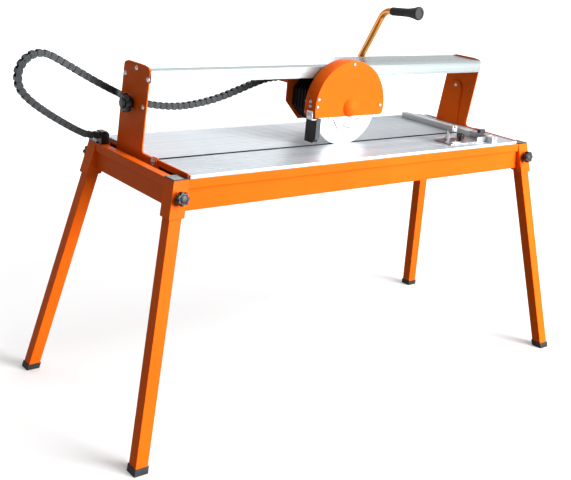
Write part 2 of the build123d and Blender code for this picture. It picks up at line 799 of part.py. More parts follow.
def roller_axles():
    """The rollers' shoulder bolts, nutted behind the plate."""
    made = []
    for x in ROLLER_X:
        bolt = rod((x, TRACK_Y0 + 2.5, TRACK_Z), (x, PLATE_Y1 + 9, TRACK_Z), 3.0)
        head = rod((x, TRACK_Y0 + 1, TRACK_Z), (x, TRACK_Y0 + 3.2, TRACK_Z), 4.5)
        nut_face = RegularPolygon(5, 6, major_radius=False)
        nut = facing((x, PLATE_Y1, TRACK_Z), (0, 1, 0)) * rise(nut_face, 5)
        made.append(bolt + head + nut)
    return made


def roller(x):
    """A nylon roller that runs in the beam's track."""
    y0 = TRACK_Y0 + 3.5
    wheel = rod((x, y0, TRACK_Z), (x, y0 + 8.5, TRACK_Z), ROLLER_R)
    return wheel - rod((x, y0 - 5, TRACK_Z), (x, y0 + 15, TRACK_Z), 3.0 + RUNNING)


SPLASH_X0 = -90.0            # from the middle, at rest
SPLASH_X1 = -76.5
SPLASH_Y0 = CUT_Y - 13
SPLASH_Y1 = CUT_Y + 27
SPLASH_Z0 = TABLE_TOP + 6.5
SPLASH_Z1 = TABLE_TOP + 66
SPLASH_BEVEL = 10.0          # lies along the table at a 45 degree tilt


def splash_block():
    """The rubber block that wipes and shields the blade's left side."""
    points = [
        (SPLASH_Y0, SPLASH_Z1),
        (SPLASH_Y0, SPLASH_Z0 + SPLASH_BEVEL),
        (SPLASH_Y0 + SPLASH_BEVEL, SPLASH_Z0),
        (SPLASH_Y1, SPLASH_Z0),
        (SPLASH_Y1, SPLASH_Z1),
    ]
    body = along_x(points, SPLASH_X0, SPLASH_X1)
    slit = block(
        SPLASH_X0 + 2, SPLASH_X1 + 5, CUT_Y - 5, CUT_Y + 5, SPLASH_Z0 - 1, SPLASH_Z1 + 1
    )
    return body - slit


def splash_plate():
    """The steel strip that clamps the block under the hood."""
    front = block(
        SPLASH_X0,
        SPLASH_X1,
        SPLASH_Y0 - 1.5,
        SPLASH_Y0,
        SPLASH_Z0 + 11,
        SPLASH_Z1 + 2,
    )
    top = block(
        SPLASH_X0, SPLASH_X1, SPLASH_Y0 - 1.5, SPLASH_Y1, SPLASH_Z1, SPLASH_Z1 + 2
    )
    ear = block(
        BLADE_X - 96,
        SPLASH_X1,
        GUARD_Y1 - 6,
        GUARD_Y1 - 3,
        SPLASH_Z1 + 2,
        GUARD_Z0,
    )
    slit = block(
        SPLASH_X0 + 2, SPLASH_X1 + 5, CUT_Y - 5, CUT_Y + 5, SPLASH_Z1 - 1, SPLASH_Z1 + 3
    )
    return front + (top - slit) + ear


TAP_AT = (-74.0, CUT_Y + 36, HEAD_Z - 10)


def water_tap():
    """The small tap that feeds the blade, on the hood's back wall."""
    x, y, z = TAP_AT
    body = Pos(x, y, z) * Cylinder(6, 24)
    body += rod((x, y, z + 4), (x, GUARD_Y1, z + 4), 4)
    body += rod((x, y, z - 8), (x - 14, y, z - 8), 3.5)
    collar = Pos(x, y, z + 12) * Cylinder(
        4.5, 3, align=(Align.CENTER, Align.CENTER, Align.MIN)
    )
    return body + collar - (Pos(x, y, z + 12) * Cylinder(2.05, 12))


def tap_lever():
    """The tap's quarter-turn lever on its stem."""
    x, y, z = TAP_AT
    stem = Pos(x, y, z + 12.5) * Cylinder(2.0, 10)
    arm = Pos(x - 6, y, z + 19) * Box(20, 7, 3.4)
    arm = fillet(arm.edges().filter_by(Axis.Z), 3)
    return stem + arm


def handle_tube():
    """The bent carrying and feed handle."""
    x = BLADE_X + HANDLE_X
    path = FilletPolyline(
        (x, HANDLE_Y, 738),
        (x, HANDLE_Y, 796),
        (x, 37.5, 934.5),
        (x, -68, 941),
        radius=38,
    )
    end = Plane(origin=(x, HANDLE_Y, 738), z_dir=(0, 0, 1))
    bar = sweep(end * Circle(HANDLE_R), path=path)
    bore = sweep(end * Circle(HANDLE_R - 1.5), path=path)
    return bar - bore


def handle_grip():
    """The flared rubber grip."""
    x = BLADE_X + HANDLE_X
    start = Vector(x, 9, 936.3)
    toward = Vector(0, -105.5, 6.5).normalized()
    place = Plane(origin=start, x_dir=(1, 0, 0), z_dir=toward)
    outline = Polygon(
        (0, 0), (11, 0), (12, 60), (14.5, 84), (17.5, 94), (15, 99), (0, 99), align=None
    )
    plane = Plane(origin=(0, 0, 0), x_dir=(1, 0, 0), z_dir=(0, -1, 0))
    body = revolve(plane * outline, axis=Axis.Z)
    body -= Pos(0, 0, 39.0) * Cylinder(HANDLE_R + 0.02, 80.2)
    return place.location * body


SWITCH_X = BLADE_X + 75
SWITCH_Z = (746.0, 796.0)
SWITCH_Y = PLATE_Y1 + 30
ROCKER_R = 8.5


def switch_box():
    """The switch housing behind the carriage plate."""
    box = block(SWITCH_X - 26, SWITCH_X + 26, PLATE_Y1, SWITCH_Y, *SWITCH_Z)
    box = fillet(box.edges().filter_by(Axis.Y), 4)
    z = sum(SWITCH_Z) / 2
    half = ROCKER_R + 0.5
    pocket = rod((SWITCH_X - 8.5, SWITCH_Y, z), (SWITCH_X + 8.5, SWITCH_Y, z), half)
    gland = rod((SWITCH_X - 26, PLATE_Y1 + 14, z), (SWITCH_X - 38, PLATE_Y1 + 14, z), 7)
    return box - pocket + gland


def switch_rocker():
    """The on/off rocker: a drum with a notched face."""
    z = sum(SWITCH_Z) / 2
    x0, x1 = SWITCH_X - 8, SWITCH_X + 8
    drum = rod((x0, SWITCH_Y, z), (x1, SWITCH_Y, z), ROCKER_R)
    notch = along_x(
        [
            (SWITCH_Y + 2, z),
            (SWITCH_Y + 6, z - 14),
            (SWITCH_Y + 20, z - 14),
            (SWITCH_Y + 20, z + 14),
            (SWITCH_Y + 6, z + 14),
        ],
        x0 - 1,
        x1 + 1,
    )
    return drum - notch


save("guard_shell", guard_shell())
save("guard_cover", guard_cover())
save("guard_screws", *guard_screws())
save("motor_shell", motor_shell())
save("motor_stator", motor_stator())
save("motor_bearings", *motor_bearings())
save("rotor", rotor())
save("blade", blade())
save("blade_flanges", *flanges())
save("arbor_nut", arbor_nut())
save("carriage_plate", carriage_plate())
save("roller_axles", *roller_axles())
save("roller_left", roller(ROLLER_X[0]))
save("roller_right", roller(ROLLER_X[1]))
save("splash_block", splash_block())
save("splash_plate", splash_plate())
save("water_tap", water_tap())
save("tap_lever", tap_lever())
save("handle_tube", handle_tube())
save("handle_grip", handle_grip())
save("switch_box", switch_box())
save("switch_rocker", switch_rocker())

# ---------------------------------------------------------------- fence and stop
FENCE_X1 = FENCE_X + FENCE_WIDTH
FENCE_Z1 = TABLE_TOP + FENCE_HEIGHT


def fence(y0, y1):
    """A low extrusion with a T-slot on top and two screw ports."""
    bar = block(FENCE_X, FENCE_X1, y0, y1, TABLE_TOP, FENCE_Z1)
    middle = FENCE_X + FENCE_WIDTH / 2
    bar -= block(middle - 2.5, middle + 2.5, y0 - 1, y1 + 1, FENCE_Z1 - 3, FENCE_Z1 + 1)
    bar -= block(middle - 5, middle + 5, y0 - 1, y1 + 1, FENCE_Z1 - 6, FENCE_Z1 - 2)
    for x in (FENCE_X + 4.5, FENCE_X1 - 4.5):
        hole = rod((x, y0 - 1, TABLE_TOP + 4), (x, y0 + 20, TABLE_TOP + 4), 2.0)
        bar -= hole
    return bar


STOP_Y0 = -165.0
STOP_Y1 = -105.0
STOP_X0 = 290.0
STOP_SHEET = 2.0
STOP_LIFT = 0.5
ARM_PIN = (327.0, -113.0)
ARM_LENGTH = 56.0
ARM_ANGLE = 228.0
ARM_SLOT_R = 36.0
KNOB_ANGLE = -50.0


def stop_slide():
    """The stop's saddle: rides on the front fence, with a base plate."""
    z0 = TABLE_TOP + STOP_LIFT
    z1 = FENCE_Z1 + STOP_LIFT
    inner = FENCE_X - STOP_LIFT
    outer = FENCE_X1 + STOP_LIFT
    points = [
        (STOP_X0, z0),
        (inner, z0),
        (inner, z1),
        (outer, z1),
        (outer, z0 + 3),
        (outer + STOP_SHEET, z0 + 3),
        (outer + STOP_SHEET, z1 + STOP_SHEET),
        (inner - STOP_SHEET, z1 + STOP_SHEET),
        (inner - STOP_SHEET, z0 + STOP_SHEET),
        (STOP_X0, z0 + STOP_SHEET),
    ]
    saddle = along_y(points, STOP_Y0, STOP_Y1)
    y = (STOP_Y0 + STOP_Y1) / 2
    x = FENCE_X + FENCE_WIDTH / 2
    saddle -= rod((x, y, z1 - 3), (x, y, z1 + 5), 3.0 + THREAD_GAP)
    top = z0 + STOP_SHEET
    pin = rod((*ARM_PIN, top - 0.5), (*ARM_PIN, top + 8), 3.0)
    wall = block(STOP_X0 + 102, inner - 0.5, STOP_Y0, STOP_Y0 + 2, z0 + 1, z0 + 14)
    knob_x, knob_y = arm_knob_place()
    hole = rod((knob_x, knob_y, z0 - 1), (knob_x, knob_y, top + 1), 2.5 + THREAD_GAP)
    return saddle + pin + wall - hole


def arm_knob_place():
    """Where the arm's clamp screw stands, about the arm's pin."""
    x, y = polar(KNOB_ANGLE, ARM_SLOT_R)
    return ARM_PIN[0] + x, ARM_PIN[1] + y


def wedge(start, stop):
    """A slice of a circle between two angles, for masking."""
    steps = 8
    turns = [start + (stop - start) * k / steps for k in range(steps + 1)]
    return Polygon((0, 0), *[polar(turn, 90) for turn in turns], align=None)


def stop_arm():
    """The angle plate and its scale sector, on a vertical pin."""
    z0 = TABLE_TOP + STOP_LIFT + STOP_SHEET + 0.3
    sector = Circle(46) & wedge(ARM_ANGLE - 2, 360) + Circle(9)
    window = Circle(ARM_SLOT_R + 3.2) - Circle(ARM_SLOT_R - 3.2)
    sector -= window & wedge(360 + KNOB_ANGLE - 47, 360 + KNOB_ANGLE + 47)
    sector -= Circle(3.0 + RUNNING)
    foot = Pos(*ARM_PIN, z0) * rise(sector, 2)
    wall = Box(ARM_LENGTH, 2.4, 27, align=(Align.MIN, Align.CENTER, Align.MIN))
    wall = Pos(*ARM_PIN, z0) * (Rot(0, 0, ARM_ANGLE) * (Pos(6, 0, 0) * wall))
    return foot + wall


def stop_knob():
    """The black wing knob that locks the saddle on the fence."""
    x = FENCE_X + FENCE_WIDTH / 2
    y = (STOP_Y0 + STOP_Y1) / 2
    z = FENCE_Z1 + STOP_LIFT + STOP_SHEET
    wing = RectangleRounded(26, 12, 5.5)
    grip = Pos(x, y, z + 0.4) * rise(wing, 8.5)
    return grip + rod((x, y, FENCE_Z1 + TIP_GAP), (x, y, z + 1), 3.0)


def arm_knob():
    """The ribbed knob that locks the angle plate."""
    x, y = arm_knob_place()
    z = TABLE_TOP + STOP_LIFT + STOP_SHEET + 2.6
    grip = Pos(0, 0, 10) * Cylinder(9, 13)
    for k in range(12):
        rib = Rot(0, 0, 30 * k) * (Pos(9, 0, 10) * Box(1.6, 2.0, 13))
        grip += rib
    collar = Pos(0, 0, 2) * Cylinder(5, 4)
    screw = Pos(0, 0, -1.4) * Cylinder(2.5, 4.8)
    return Pos(x, y, z) * (grip + collar + screw)


save("fence_back", fence(SLOT_Y1 + 2, FENCE_BACK_END))
save("fence_front", fence(-FENCE_END, SLOT_Y0 - 3))
save("stop_slide", stop_slide())
save("stop_arm", stop_arm())
save("stop_knob", stop_knob())
save("arm_knob", arm_knob())

# ---------------------------------------------------------------- cable chain
# The chain carries the motor's lead and the water hose. It is fixed to the
# rim's back left corner, loops out past the end and runs behind the beam.
ANCHOR_X = (-HALF_L + 4, -HALF_L + 25)
ANCHOR_Y = (CHAIN_Y + 14, CHAIN_Y + 38)
RUN_START = -HALF_L + 10
RUN_END = -62.0
# Each step of the loop: out past the end, to the back of the run, and height.
LOOP_STEPS = [
    (4, 26, 628),
    (-22, 26, 628),
    (-54, 25, 643),
    (-92, 22, 665),
    (-132, 17, 690),
    (-168, 12, 716),
    (-193, 8, 741),
    (-201, 5, 766),
    (-198, 3, 791),
    (-183, 1, 812),
    (-160, 0, 823),
    (-134, 0, 821),
    (-94, 0, 799),
    (-52, 0, 775),
    (-14, 0, 754),
    (10, 0, 742),
]
LOOP = [(-HALF_L + x, CHAIN_Y + y, z) for x, y, z in LOOP_STEPS]
# Each step of the run: along it, where the whole is 498, and height.
RUN_STEPS = [
    (0, 742),
    (30, 727),
    (78, 706),
    (136, 694),
    (194, 690),
    (252, 696),
    (310, 708),
    (366, 726),
    (417, 743),
    (457, 753),
    (498, 753),
]
RUN_SHARE = (RUN_END - RUN_START) / RUN_STEPS[-1][0]
RUN = [(RUN_START + x * RUN_SHARE, CHAIN_Y, z) for x, z in RUN_STEPS]


def bend_radii(points):
    """Each bend as large as its two runs allow."""
    radii = []
    for before, here, after in zip(points, points[1:], points[2:]):
        one = Vector(here) - Vector(before)
        two = Vector(after) - Vector(here)
        half_turn = math.radians(one.get_angle(two)) / 2
        shorter = min(one.length, two.length)
        radii.append(0.45 * shorter / math.tan(half_turn))
    return radii


def tube(points):
    """A round tube of straight runs and tangent arcs."""
    radii = bend_radii(points)
    path = FilletPolyline(*points, radius=radii)
    start = Plane(origin=points[0], z_dir=Vector(points[1]) - Vector(points[0]))
    body = sweep(start * Circle(CHAIN_R), path=path)
    print("bends", [round(r) for r in radii], "length", round(path.length, 1))
    print("volume share", body.volume / (math.pi * CHAIN_R**2 * path.length))
    return body


def chain_anchor():
    """The black boot on the rim that holds the chain's end."""
    boot = block(*ANCHOR_X, *ANCHOR_Y, RIM_TOP, RIM_TOP + 30)
    edges = boot.edges().filter_by(Axis.Y).group_by(Axis.Z)[-1]
    boot = chamfer(edges.sort_by(Axis.X)[-1], 6)
    cap_y = LEG_TOP_Y - SOCKET / 2 - 1
    cap_z = RIM_TOP + CAP_THICK + 0.3
    return boot - block(-HALF_L - 9, -HALF_L + 60, cap_y, HALF_W, RIM_TOP - 9, cap_z)


save("chain_anchor", chain_anchor())
save("chain_loop", tube(LOOP))
save("chain_run", tube(RUN))
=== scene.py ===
# %% [markdown]
# # A bridge tile cutter
# This lesson dresses a wet tile saw: an orange welded frame on four splayed
# legs, two grooved aluminium table halves, and an aluminium beam on leaning
# side plates that carries a motor with its hooded diamond blade. The exact
# parts come from CAD. Blender adds the finishes, the softened edges and the
# small things that repeat. Lengths are in metres, X runs along the cut, Y to
# the back and Z up.

import json
import math

import bmesh
import bpy
from mathutils import Matrix, Vector


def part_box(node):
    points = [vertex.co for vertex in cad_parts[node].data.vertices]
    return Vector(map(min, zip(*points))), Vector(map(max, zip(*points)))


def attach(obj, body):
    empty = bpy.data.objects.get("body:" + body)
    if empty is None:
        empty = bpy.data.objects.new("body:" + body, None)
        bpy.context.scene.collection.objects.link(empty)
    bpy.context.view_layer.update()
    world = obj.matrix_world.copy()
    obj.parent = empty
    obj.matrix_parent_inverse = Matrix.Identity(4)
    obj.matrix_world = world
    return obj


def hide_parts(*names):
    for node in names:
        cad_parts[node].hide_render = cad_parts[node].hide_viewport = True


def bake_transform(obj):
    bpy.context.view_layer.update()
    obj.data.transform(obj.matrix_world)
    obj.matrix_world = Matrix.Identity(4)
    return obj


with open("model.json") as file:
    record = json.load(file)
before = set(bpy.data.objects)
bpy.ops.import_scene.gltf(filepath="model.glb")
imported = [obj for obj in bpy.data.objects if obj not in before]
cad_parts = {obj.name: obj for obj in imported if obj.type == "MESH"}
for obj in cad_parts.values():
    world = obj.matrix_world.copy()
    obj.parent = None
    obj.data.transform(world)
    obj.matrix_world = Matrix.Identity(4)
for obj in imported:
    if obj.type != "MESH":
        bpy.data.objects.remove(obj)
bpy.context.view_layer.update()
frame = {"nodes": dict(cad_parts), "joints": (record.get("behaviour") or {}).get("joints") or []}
NODES = frame["nodes"]
MM = 0.001


# %% [markdown]
# ## Finishes
# Every finish is made of nodes and reads Object coordinates, so a pattern
# keeps its real size in metres. A few helpers keep the wiring short: one
# gives noise at a real scale, one turns it into colours, one into bumps.

# %% Helpers for wiring a finish
def new_finish(name, rough=0.5, metal=0.0, coat=0.0):
    """A material with its Principled shader, ready to wire."""
    material = bpy.data.materials.new(name)
    material.use_nodes = True
    shader = material.node_tree.nodes["Principled BSDF"]
    shader.inputs["Roughness"].default_value = rough
    shader.inputs["Metallic"].default_value = metal
    shader.inputs["Coat Weight"].default_value = coat
    shader.inputs["Coat Roughness"].default_value = 0.12
    return material, material.node_tree, shader


def spot(tree, stretch=(1, 1, 1), centre=(0, 0, 0)):
    """Object coordinates, moved to a centre and stretched along an axis."""
    coordinates = tree.nodes.new("ShaderNodeTexCoord")
    mapping = tree.nodes.new("ShaderNodeMapping")
    mapping.inputs["Location"].default_value = [
        -c * s for c, s in zip(centre, stretch)
    ]
    mapping.inputs["Scale"].default_value = stretch
    tree.links.new(coordinates.outputs["Object"], mapping.inputs["Vector"])
    return mapping.outputs["Vector"]


def grain(tree, size, stretch=(1, 1, 1), detail=3.0):
    """Noise whose features are about size metres across."""
    noise = tree.nodes.new("ShaderNodeTexNoise")
    noise.inputs["Scale"].default_value = 1 / size
    noise.inputs["Detail"].default_value = detail
    tree.links.new(spot(tree, stretch), noise.inputs["Vector"])
    return noise.outputs["Fac"]


def graded(tree, factor, low, high, start=0.3, stop=0.7):
    """A ramp between two colours or two grey levels."""
    ramp = tree.nodes.new("ShaderNodeValToRGB")
    ends = ramp.color_ramp.elements
    for end, value, at in ((ends[0], low, start), (ends[1], high, stop)):
        end.color = (*value, 1) if isinstance(value, tuple) else (value,) * 3 + (1,)
        end.position = at
    tree.links.new(factor, ramp.inputs["Fac"])
    return ramp.outputs["Color"]


def raised(tree, height, shader, depth, strength=1.0):
    """Bumps of a real depth, wired to the shader's normal."""
    bump = tree.nodes.new("ShaderNodeBump")
    bump.inputs["Distance"].default_value = depth
    bump.inputs["Strength"].default_value = strength
    tree.links.new(height, bump.inputs["Height"])
    tree.links.new(bump.outputs["Normal"], shader.inputs["Normal"])
    return bump


def mixed(tree, factor, one, two, blend="MIX"):
    """Two colours mixed by a factor, or multiplied."""
    mix = tree.nodes.new("ShaderNodeMix")
    mix.data_type = "RGBA"
    mix.blend_type = blend
    for socket, value in ((mix.inputs[0], factor), (mix.inputs[6], one), (mix.inputs[7], two)):
        if isinstance(value, (int, float)):
            socket.default_value = value
        elif isinstance(value, tuple):
            socket.default_value = (*value, 1)
        else:
            tree.links.new(value, socket)
    return mix.outputs[2]


print("wiring helpers ready")


# %% [markdown]
# ### Powder coat
# The frame, plates and hood wear a glossy orange powder coat. Powder melts
# into a skin with a faint orange peel, so the bump is shallow and about a
# millimetre across. A broad noise shifts the orange a little, as sheets do
# when light slides over them, and a finer one breaks the gloss.

# %% Powder coat, metallic paint and motor enamel
def coat_of_powder(name, dark, light, peel=0.00004):
    """A sprayed and baked colour with orange peel."""
    material, tree, shader = new_finish(name)
    shader.inputs["Specular IOR Level"].default_value = 0.03
    broad = grain(tree, 0.18, detail=2.0)
    colour = graded(tree, broad, dark, light)
    dust = graded(tree, grain(tree, 0.0016, detail=2.0), 0.93, 1.0, 0.25, 0.5)
    colour = mixed(tree, 1.0, colour, dust, "MULTIPLY")
    tree.links.new(colour, shader.inputs["Base Color"])
    gloss = graded(tree, grain(tree, 0.02), 0.34, 0.46)
    tree.links.new(gloss, shader.inputs["Roughness"])
    raised(tree, grain(tree, 0.0011, detail=1.0), shader, peel, 0.5)
    return material


def metallic_lacquer(name, base):
    """Copper lacquer over bright steel, with fine flake."""
    material, tree, shader = new_finish(name, metal=0.85, coat=0.6)
    flake = graded(tree, grain(tree, 0.0005), 0.96, 1.0, 0.35, 0.65)
    tree.links.new(mixed(tree, 1.0, base, flake, "MULTIPLY"), shader.inputs["Base Color"])
    gloss = graded(tree, grain(tree, 0.03), 0.20, 0.28)
    tree.links.new(gloss, shader.inputs["Roughness"])
    return material


ORANGE = coat_of_powder("orange_powder", (0.84, 0.115, 0.005), (0.90, 0.135, 0.007))
MOTOR_BLACK = coat_of_powder("motor_enamel", (0.011, 0.011, 0.012), (0.02, 0.02, 0.022), 0.0001)
COPPER = metallic_lacquer("copper_lacquer", (0.82, 0.33, 0.06))
print("paints:", ORANGE.name, MOTOR_BLACK.name, COPPER.name)

# %% [markdown]
# ### Extruded aluminium
# The table, beam and fence are extrusions. The die leaves lines along the
# whole length, so the noise is stretched five hundredfold along the run: as
# tone, as gloss and as a very shallow bump. The cut faces of the blade slot
# lie in shadow, so a mask on Y and Z paints that shade on them as dark colour.

# %% Aluminium with die lines
def extruded(name, tone, along=(1, 0, 0), line=0.0018, rough=(0.36, 0.46), metal=0.6):
    """Satin aluminium with die lines along one axis."""
    material, tree, shader = new_finish(name, metal=metal)
    stretch = tuple(0.002 if a else 1.0 for a in along)
    lines = grain(tree, line, stretch, detail=4.0)
    bands = grain(tree, 0.02, stretch, detail=2.0)
    dark = tuple(c * 0.84 for c in tone)
    colour = graded(tree, lines, dark, tone, 0.30, 0.60)
    veil = graded(tree, bands, 0.88, 1.0, 0.35, 0.6)
    tree.links.new(mixed(tree, 1.0, colour, veil, "MULTIPLY"), shader.inputs["Base Color"])
    tree.links.new(graded(tree, bands, *rough), shader.inputs["Roughness"])
    raised(tree, lines, shader, 0.00002, 0.5)
    return material


TABLE_ALU = extruded("table_aluminium", (0.52, 0.56, 0.60))
BEAM_ALU = extruded("beam_aluminium", (0.36, 0.405, 0.41), line=0.003, rough=(0.19, 0.25))
FENCE_ALU = extruded("fence_aluminium", (0.88, 0.91, 0.93), along=(0, 1, 0), metal=0.3)


def painted_slot_shade(material, low, high, top):
    """Painted shade: the cut faces of the blade slot, below the table's top, are painted dark.
    """
    tree = material.node_tree
    colour = tree.nodes["Principled BSDF"].inputs["Base Color"]
    parts = tree.nodes.new("ShaderNodeSeparateXYZ")
    tree.links.new(spot(tree), parts.inputs[0])
    within = tree.nodes.new("ShaderNodeMath")
    within.operation = "COMPARE"
    within.inputs[1].default_value = (low + high) / 2
    within.inputs[2].default_value = (high - low) / 2 + 0.4 * MM
    tree.links.new(parts.outputs["Y"], within.inputs[0])
    under = tree.nodes.new("ShaderNodeMath")
    under.operation = "LESS_THAN"
    under.inputs[1].default_value = top - 0.3 * MM
    tree.links.new(parts.outputs["Z"], under.inputs[0])
    both = tree.nodes.new("ShaderNodeMath")
    both.operation = "MULTIPLY"
    tree.links.new(within.outputs[0], both.inputs[0])
    tree.links.new(under.outputs[0], both.inputs[1])
    unshaded_colour = colour.links[0].from_socket
    # Painted shade: near-black mixed into the base colour on the slot's cut faces.
    tree.links.new(mixed(tree, both.outputs[0], unshaded_colour, (0.02, 0.02, 0.021)), colour)


# Painted shade on the cut faces of the blade slot between the two table halves.
slot_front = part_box("table_front")[1]
slot_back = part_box("table_back")[0]
painted_slot_shade(TABLE_ALU, slot_front.y, slot_back.y, slot_front.z)
print("aluminium:", TABLE_ALU.name, BEAM_ALU.name, FENCE_ALU.name)


# %% [markdown]
# ### Plated and ground steel
# Screws, washers and the stop are zinc plated, which shows as small cloudy
# patches. The blade is ground on a turntable, so its lines are rings round
# the arbor: distance from the arbor drives them, and past the steel core the
# same distance switches to the coarse grey of the diamond rim.

# %% Zinc and the blade's rings
def plated(name, tone, rough=0.3):
    """Zinc plate with small cloudy crystals."""
    material, tree, shader = new_finish(name, metal=1.0)
    cloud = grain(tree, 0.004, detail=3.0)
    dull = tuple(c * 0.78 for c in tone)
    tree.links.new(graded(tree, cloud, dull, tone), shader.inputs["Base Color"])
    tree.links.new(graded(tree, cloud, rough - 0.06, rough + 0.12), shader.inputs["Roughness"])
    raised(tree, grain(tree, 0.0008), shader, 0.00003, 0.5)
    return material


def from_arbor(tree, arbor):
    """Distance from the blade's axis, in metres."""
    flat = spot(tree, (1, 0, 1), arbor)
    length = tree.nodes.new("ShaderNodeVectorMath")
    length.operation = "LENGTH"
    tree.links.new(flat, length.inputs[0])
    return length.outputs["Value"]


def ground_blade(name, arbor, core_r):
    """A ground steel disc with a diamond rim."""
    material, tree, shader = new_finish(name, metal=0.7)
    distance = from_arbor(tree, arbor)
    rings = tree.nodes.new("ShaderNodeTexNoise")
    rings.noise_dimensions = "1D"
    rings.inputs["Scale"].default_value = 900
    tree.links.new(distance, rings.inputs["W"])
    edge = tree.nodes.new("ShaderNodeMath")
    edge.operation = "GREATER_THAN"
    edge.inputs[1].default_value = core_r
    tree.links.new(distance, edge.inputs[0])
    core = graded(tree, rings.outputs["Fac"], (0.46, 0.50, 0.52), (0.56, 0.60, 0.62))
    grit = graded(tree, grain(tree, 0.0005), (0.40, 0.42, 0.44), (0.54, 0.56, 0.58))
    tree.links.new(mixed(tree, edge.outputs[0], core, grit), shader.inputs["Base Color"])
    tree.links.new(
        mixed(tree, edge.outputs[0], (0.36,) * 3, (0.62,) * 3), shader.inputs["Roughness"]
    )
    raised(tree, mixed(tree, edge.outputs[0], rings.outputs["Fac"], grit), shader, 0.00005, 0.5)
    return material


blade_low, blade_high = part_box("blade")
ARBOR = (blade_low + blade_high) / 2
ARBOR.z = blade_high.z - 100 * MM
ZINC = plated("zinc_plate", (0.56, 0.58, 0.60))
DARK_STEEL = plated("dark_steel", (0.42, 0.43, 0.45), 0.36)
BLADE = ground_blade("ground_blade", ARBOR, 92 * MM)
print("arbor at", [round(c, 4) for c in ARBOR])


# %% [markdown]
# ### Moulded plastics and rubber
# Knobs, chain and boxes are glass-filled nylon, whose tool is spark eroded
# and leaves an even fine pebble. Rubber is duller, with a slightly coarser
# grain and a bloom of grey. The tap is milky plastic that lets light in.

# %% Plastics and rubber
def moulded(name, tone, rough=0.45, pebble=0.0007, depth=0.00005, bloom=1.6):
    """Moulded plastic or rubber with an even pebble."""
    material, tree, shader = new_finish(name, rough)
    shader.inputs["Specular IOR Level"].default_value = 0.3
    pale = tuple(min(c * bloom, 1.0) for c in tone)
    tree.links.new(graded(tree, grain(tree, 0.015), tone, pale), shader.inputs["Base Color"])
    gloss = graded(tree, grain(tree, 0.006), rough - 0.05, rough + 0.08)
    tree.links.new(gloss, shader.inputs["Roughness"])
    raised(tree, grain(tree, pebble, detail=1.0), shader, depth, 0.7)
    return material


NYLON = moulded("black_nylon", (0.012, 0.013, 0.014), 0.38)
CHAIN_GREY = moulded("chain_nylon", (0.018, 0.022, 0.024), 0.36, bloom=1.6)
GLOSS_BLACK = moulded("gloss_black", (0.010, 0.010, 0.011), 0.16, depth=0.00001)
RUBBER = moulded("black_rubber", (0.014, 0.014, 0.014), 0.62, 0.001, 0.00008, 2.0)
SPLASH_RUBBER = moulded("splash_rubber", (0.035, 0.035, 0.037), 0.55, 0.0015, 0.0001, 1.5)
GREY_PLATE = moulded("grey_plate", (0.035, 0.042, 0.045), 0.35, 0.002, 0.00001, 1.2)
MILKY = moulded("milky_plastic", (0.70, 0.72, 0.72), 0.25, 0.002, 0.00002, 1.15)
MILKY.node_tree.nodes["Principled BSDF"].inputs["Subsurface Weight"].default_value = 0.3
RED = moulded("red_plastic", (0.55, 0.012, 0.010), 0.3, bloom=1.2)
print("plastics ready, last one", RED.name)

# %% [markdown]
# ### Laminated iron
# The motor's stator is a stack of half-millimetre iron sheets, so fine lines
# ring it across the shaft.

# %% Laminations
def laminated(name):
    """Thin iron sheets stacked along Y."""
    material, tree, shader = new_finish(name, 0.5, metal=0.8)
    wave = tree.nodes.new("ShaderNodeTexWave")
    wave.bands_direction = "Y"
    wave.inputs["Scale"].default_value = 320
    wave.inputs["Distortion"].default_value = 0.4
    tree.links.new(spot(tree), wave.inputs["Vector"])
    sheets = graded(tree, wave.outputs["Fac"], (0.12, 0.12, 0.13), (0.33, 0.33, 0.34))
    tree.links.new(sheets, shader.inputs["Base Color"])
    raised(tree, wave.outputs["Fac"], shader, 0.0001, 0.5)
    return material


IRON = laminated("laminated_iron")
print("iron ready")

# %% Which part wears which finish
SIDES = ("front_left", "front_right", "back_left", "back_right")
WEARS = {
    ORANGE: [
        "rim_rails", "leg_sockets", "end_plate_left", "end_plate_right",
        "upright_left", "upright_right", "carriage_plate", "guard_shell",
        "guard_cover", *[f"leg_{side}" for side in SIDES],
    ],
    TABLE_ALU: ["table_front", "table_back"],
    BEAM_ALU: ["beam"],
    FENCE_ALU: ["fence_back", "fence_front"],
    ZINC: [
        "pivot_bolts", "bridge_screws", "guard_screws", "roller_axles",
        "motor_bearings", "blade_flanges", "stop_slide",
        "stop_arm",
    ],
    DARK_STEEL: ["rotor", "arbor_nut"],
    BLADE: ["blade"],
    NYLON: [
        "tilt_knob_left", "tilt_knob_right", "switch_box", "chain_anchor",
        "stop_knob", "pump_body", "roller_left", "roller_right",
        *[f"leg_knob_{side}" for side in SIDES],
    ],
    CHAIN_GREY: ["chain_loop", "chain_run"],
    GLOSS_BLACK: ["socket_caps", "arm_knob"],
    RUBBER: ["drain_plug", "handle_grip", *[f"foot_{side}" for side in SIDES]],
    SPLASH_RUBBER: ["splash_block"],
    GREY_PLATE: ["splash_plate"],
    COPPER: ["handle_tube"],
    MOTOR_BLACK: ["motor_shell", "water_tray"],
    IRON: ["motor_stator"],
    MILKY: ["water_tap", "tap_lever"],
    RED: ["switch_rocker"],
}


def dress(piece, material):
    """One finish on a whole piece."""
    piece.data.materials.clear()
    piece.data.materials.append(material)


for material, names in WEARS.items():
    for name in names:
        dress(NODES[name], material)
worn = sum(len(names) for names in WEARS.values())
print(worn, "of", len(NODES), "parts have a finish")


# %% [markdown]
# ## Softened edges
# Nothing made of folded sheet has a knife edge. The CAD parts come with each
# flat face separate, so a Weld modifier joins the corners first, and a Bevel
# then rounds every edge that turns by more than 30 degrees. Narrow bevels
# catch the light as a thin bright line, which is most of what makes painted
# sheet look real.

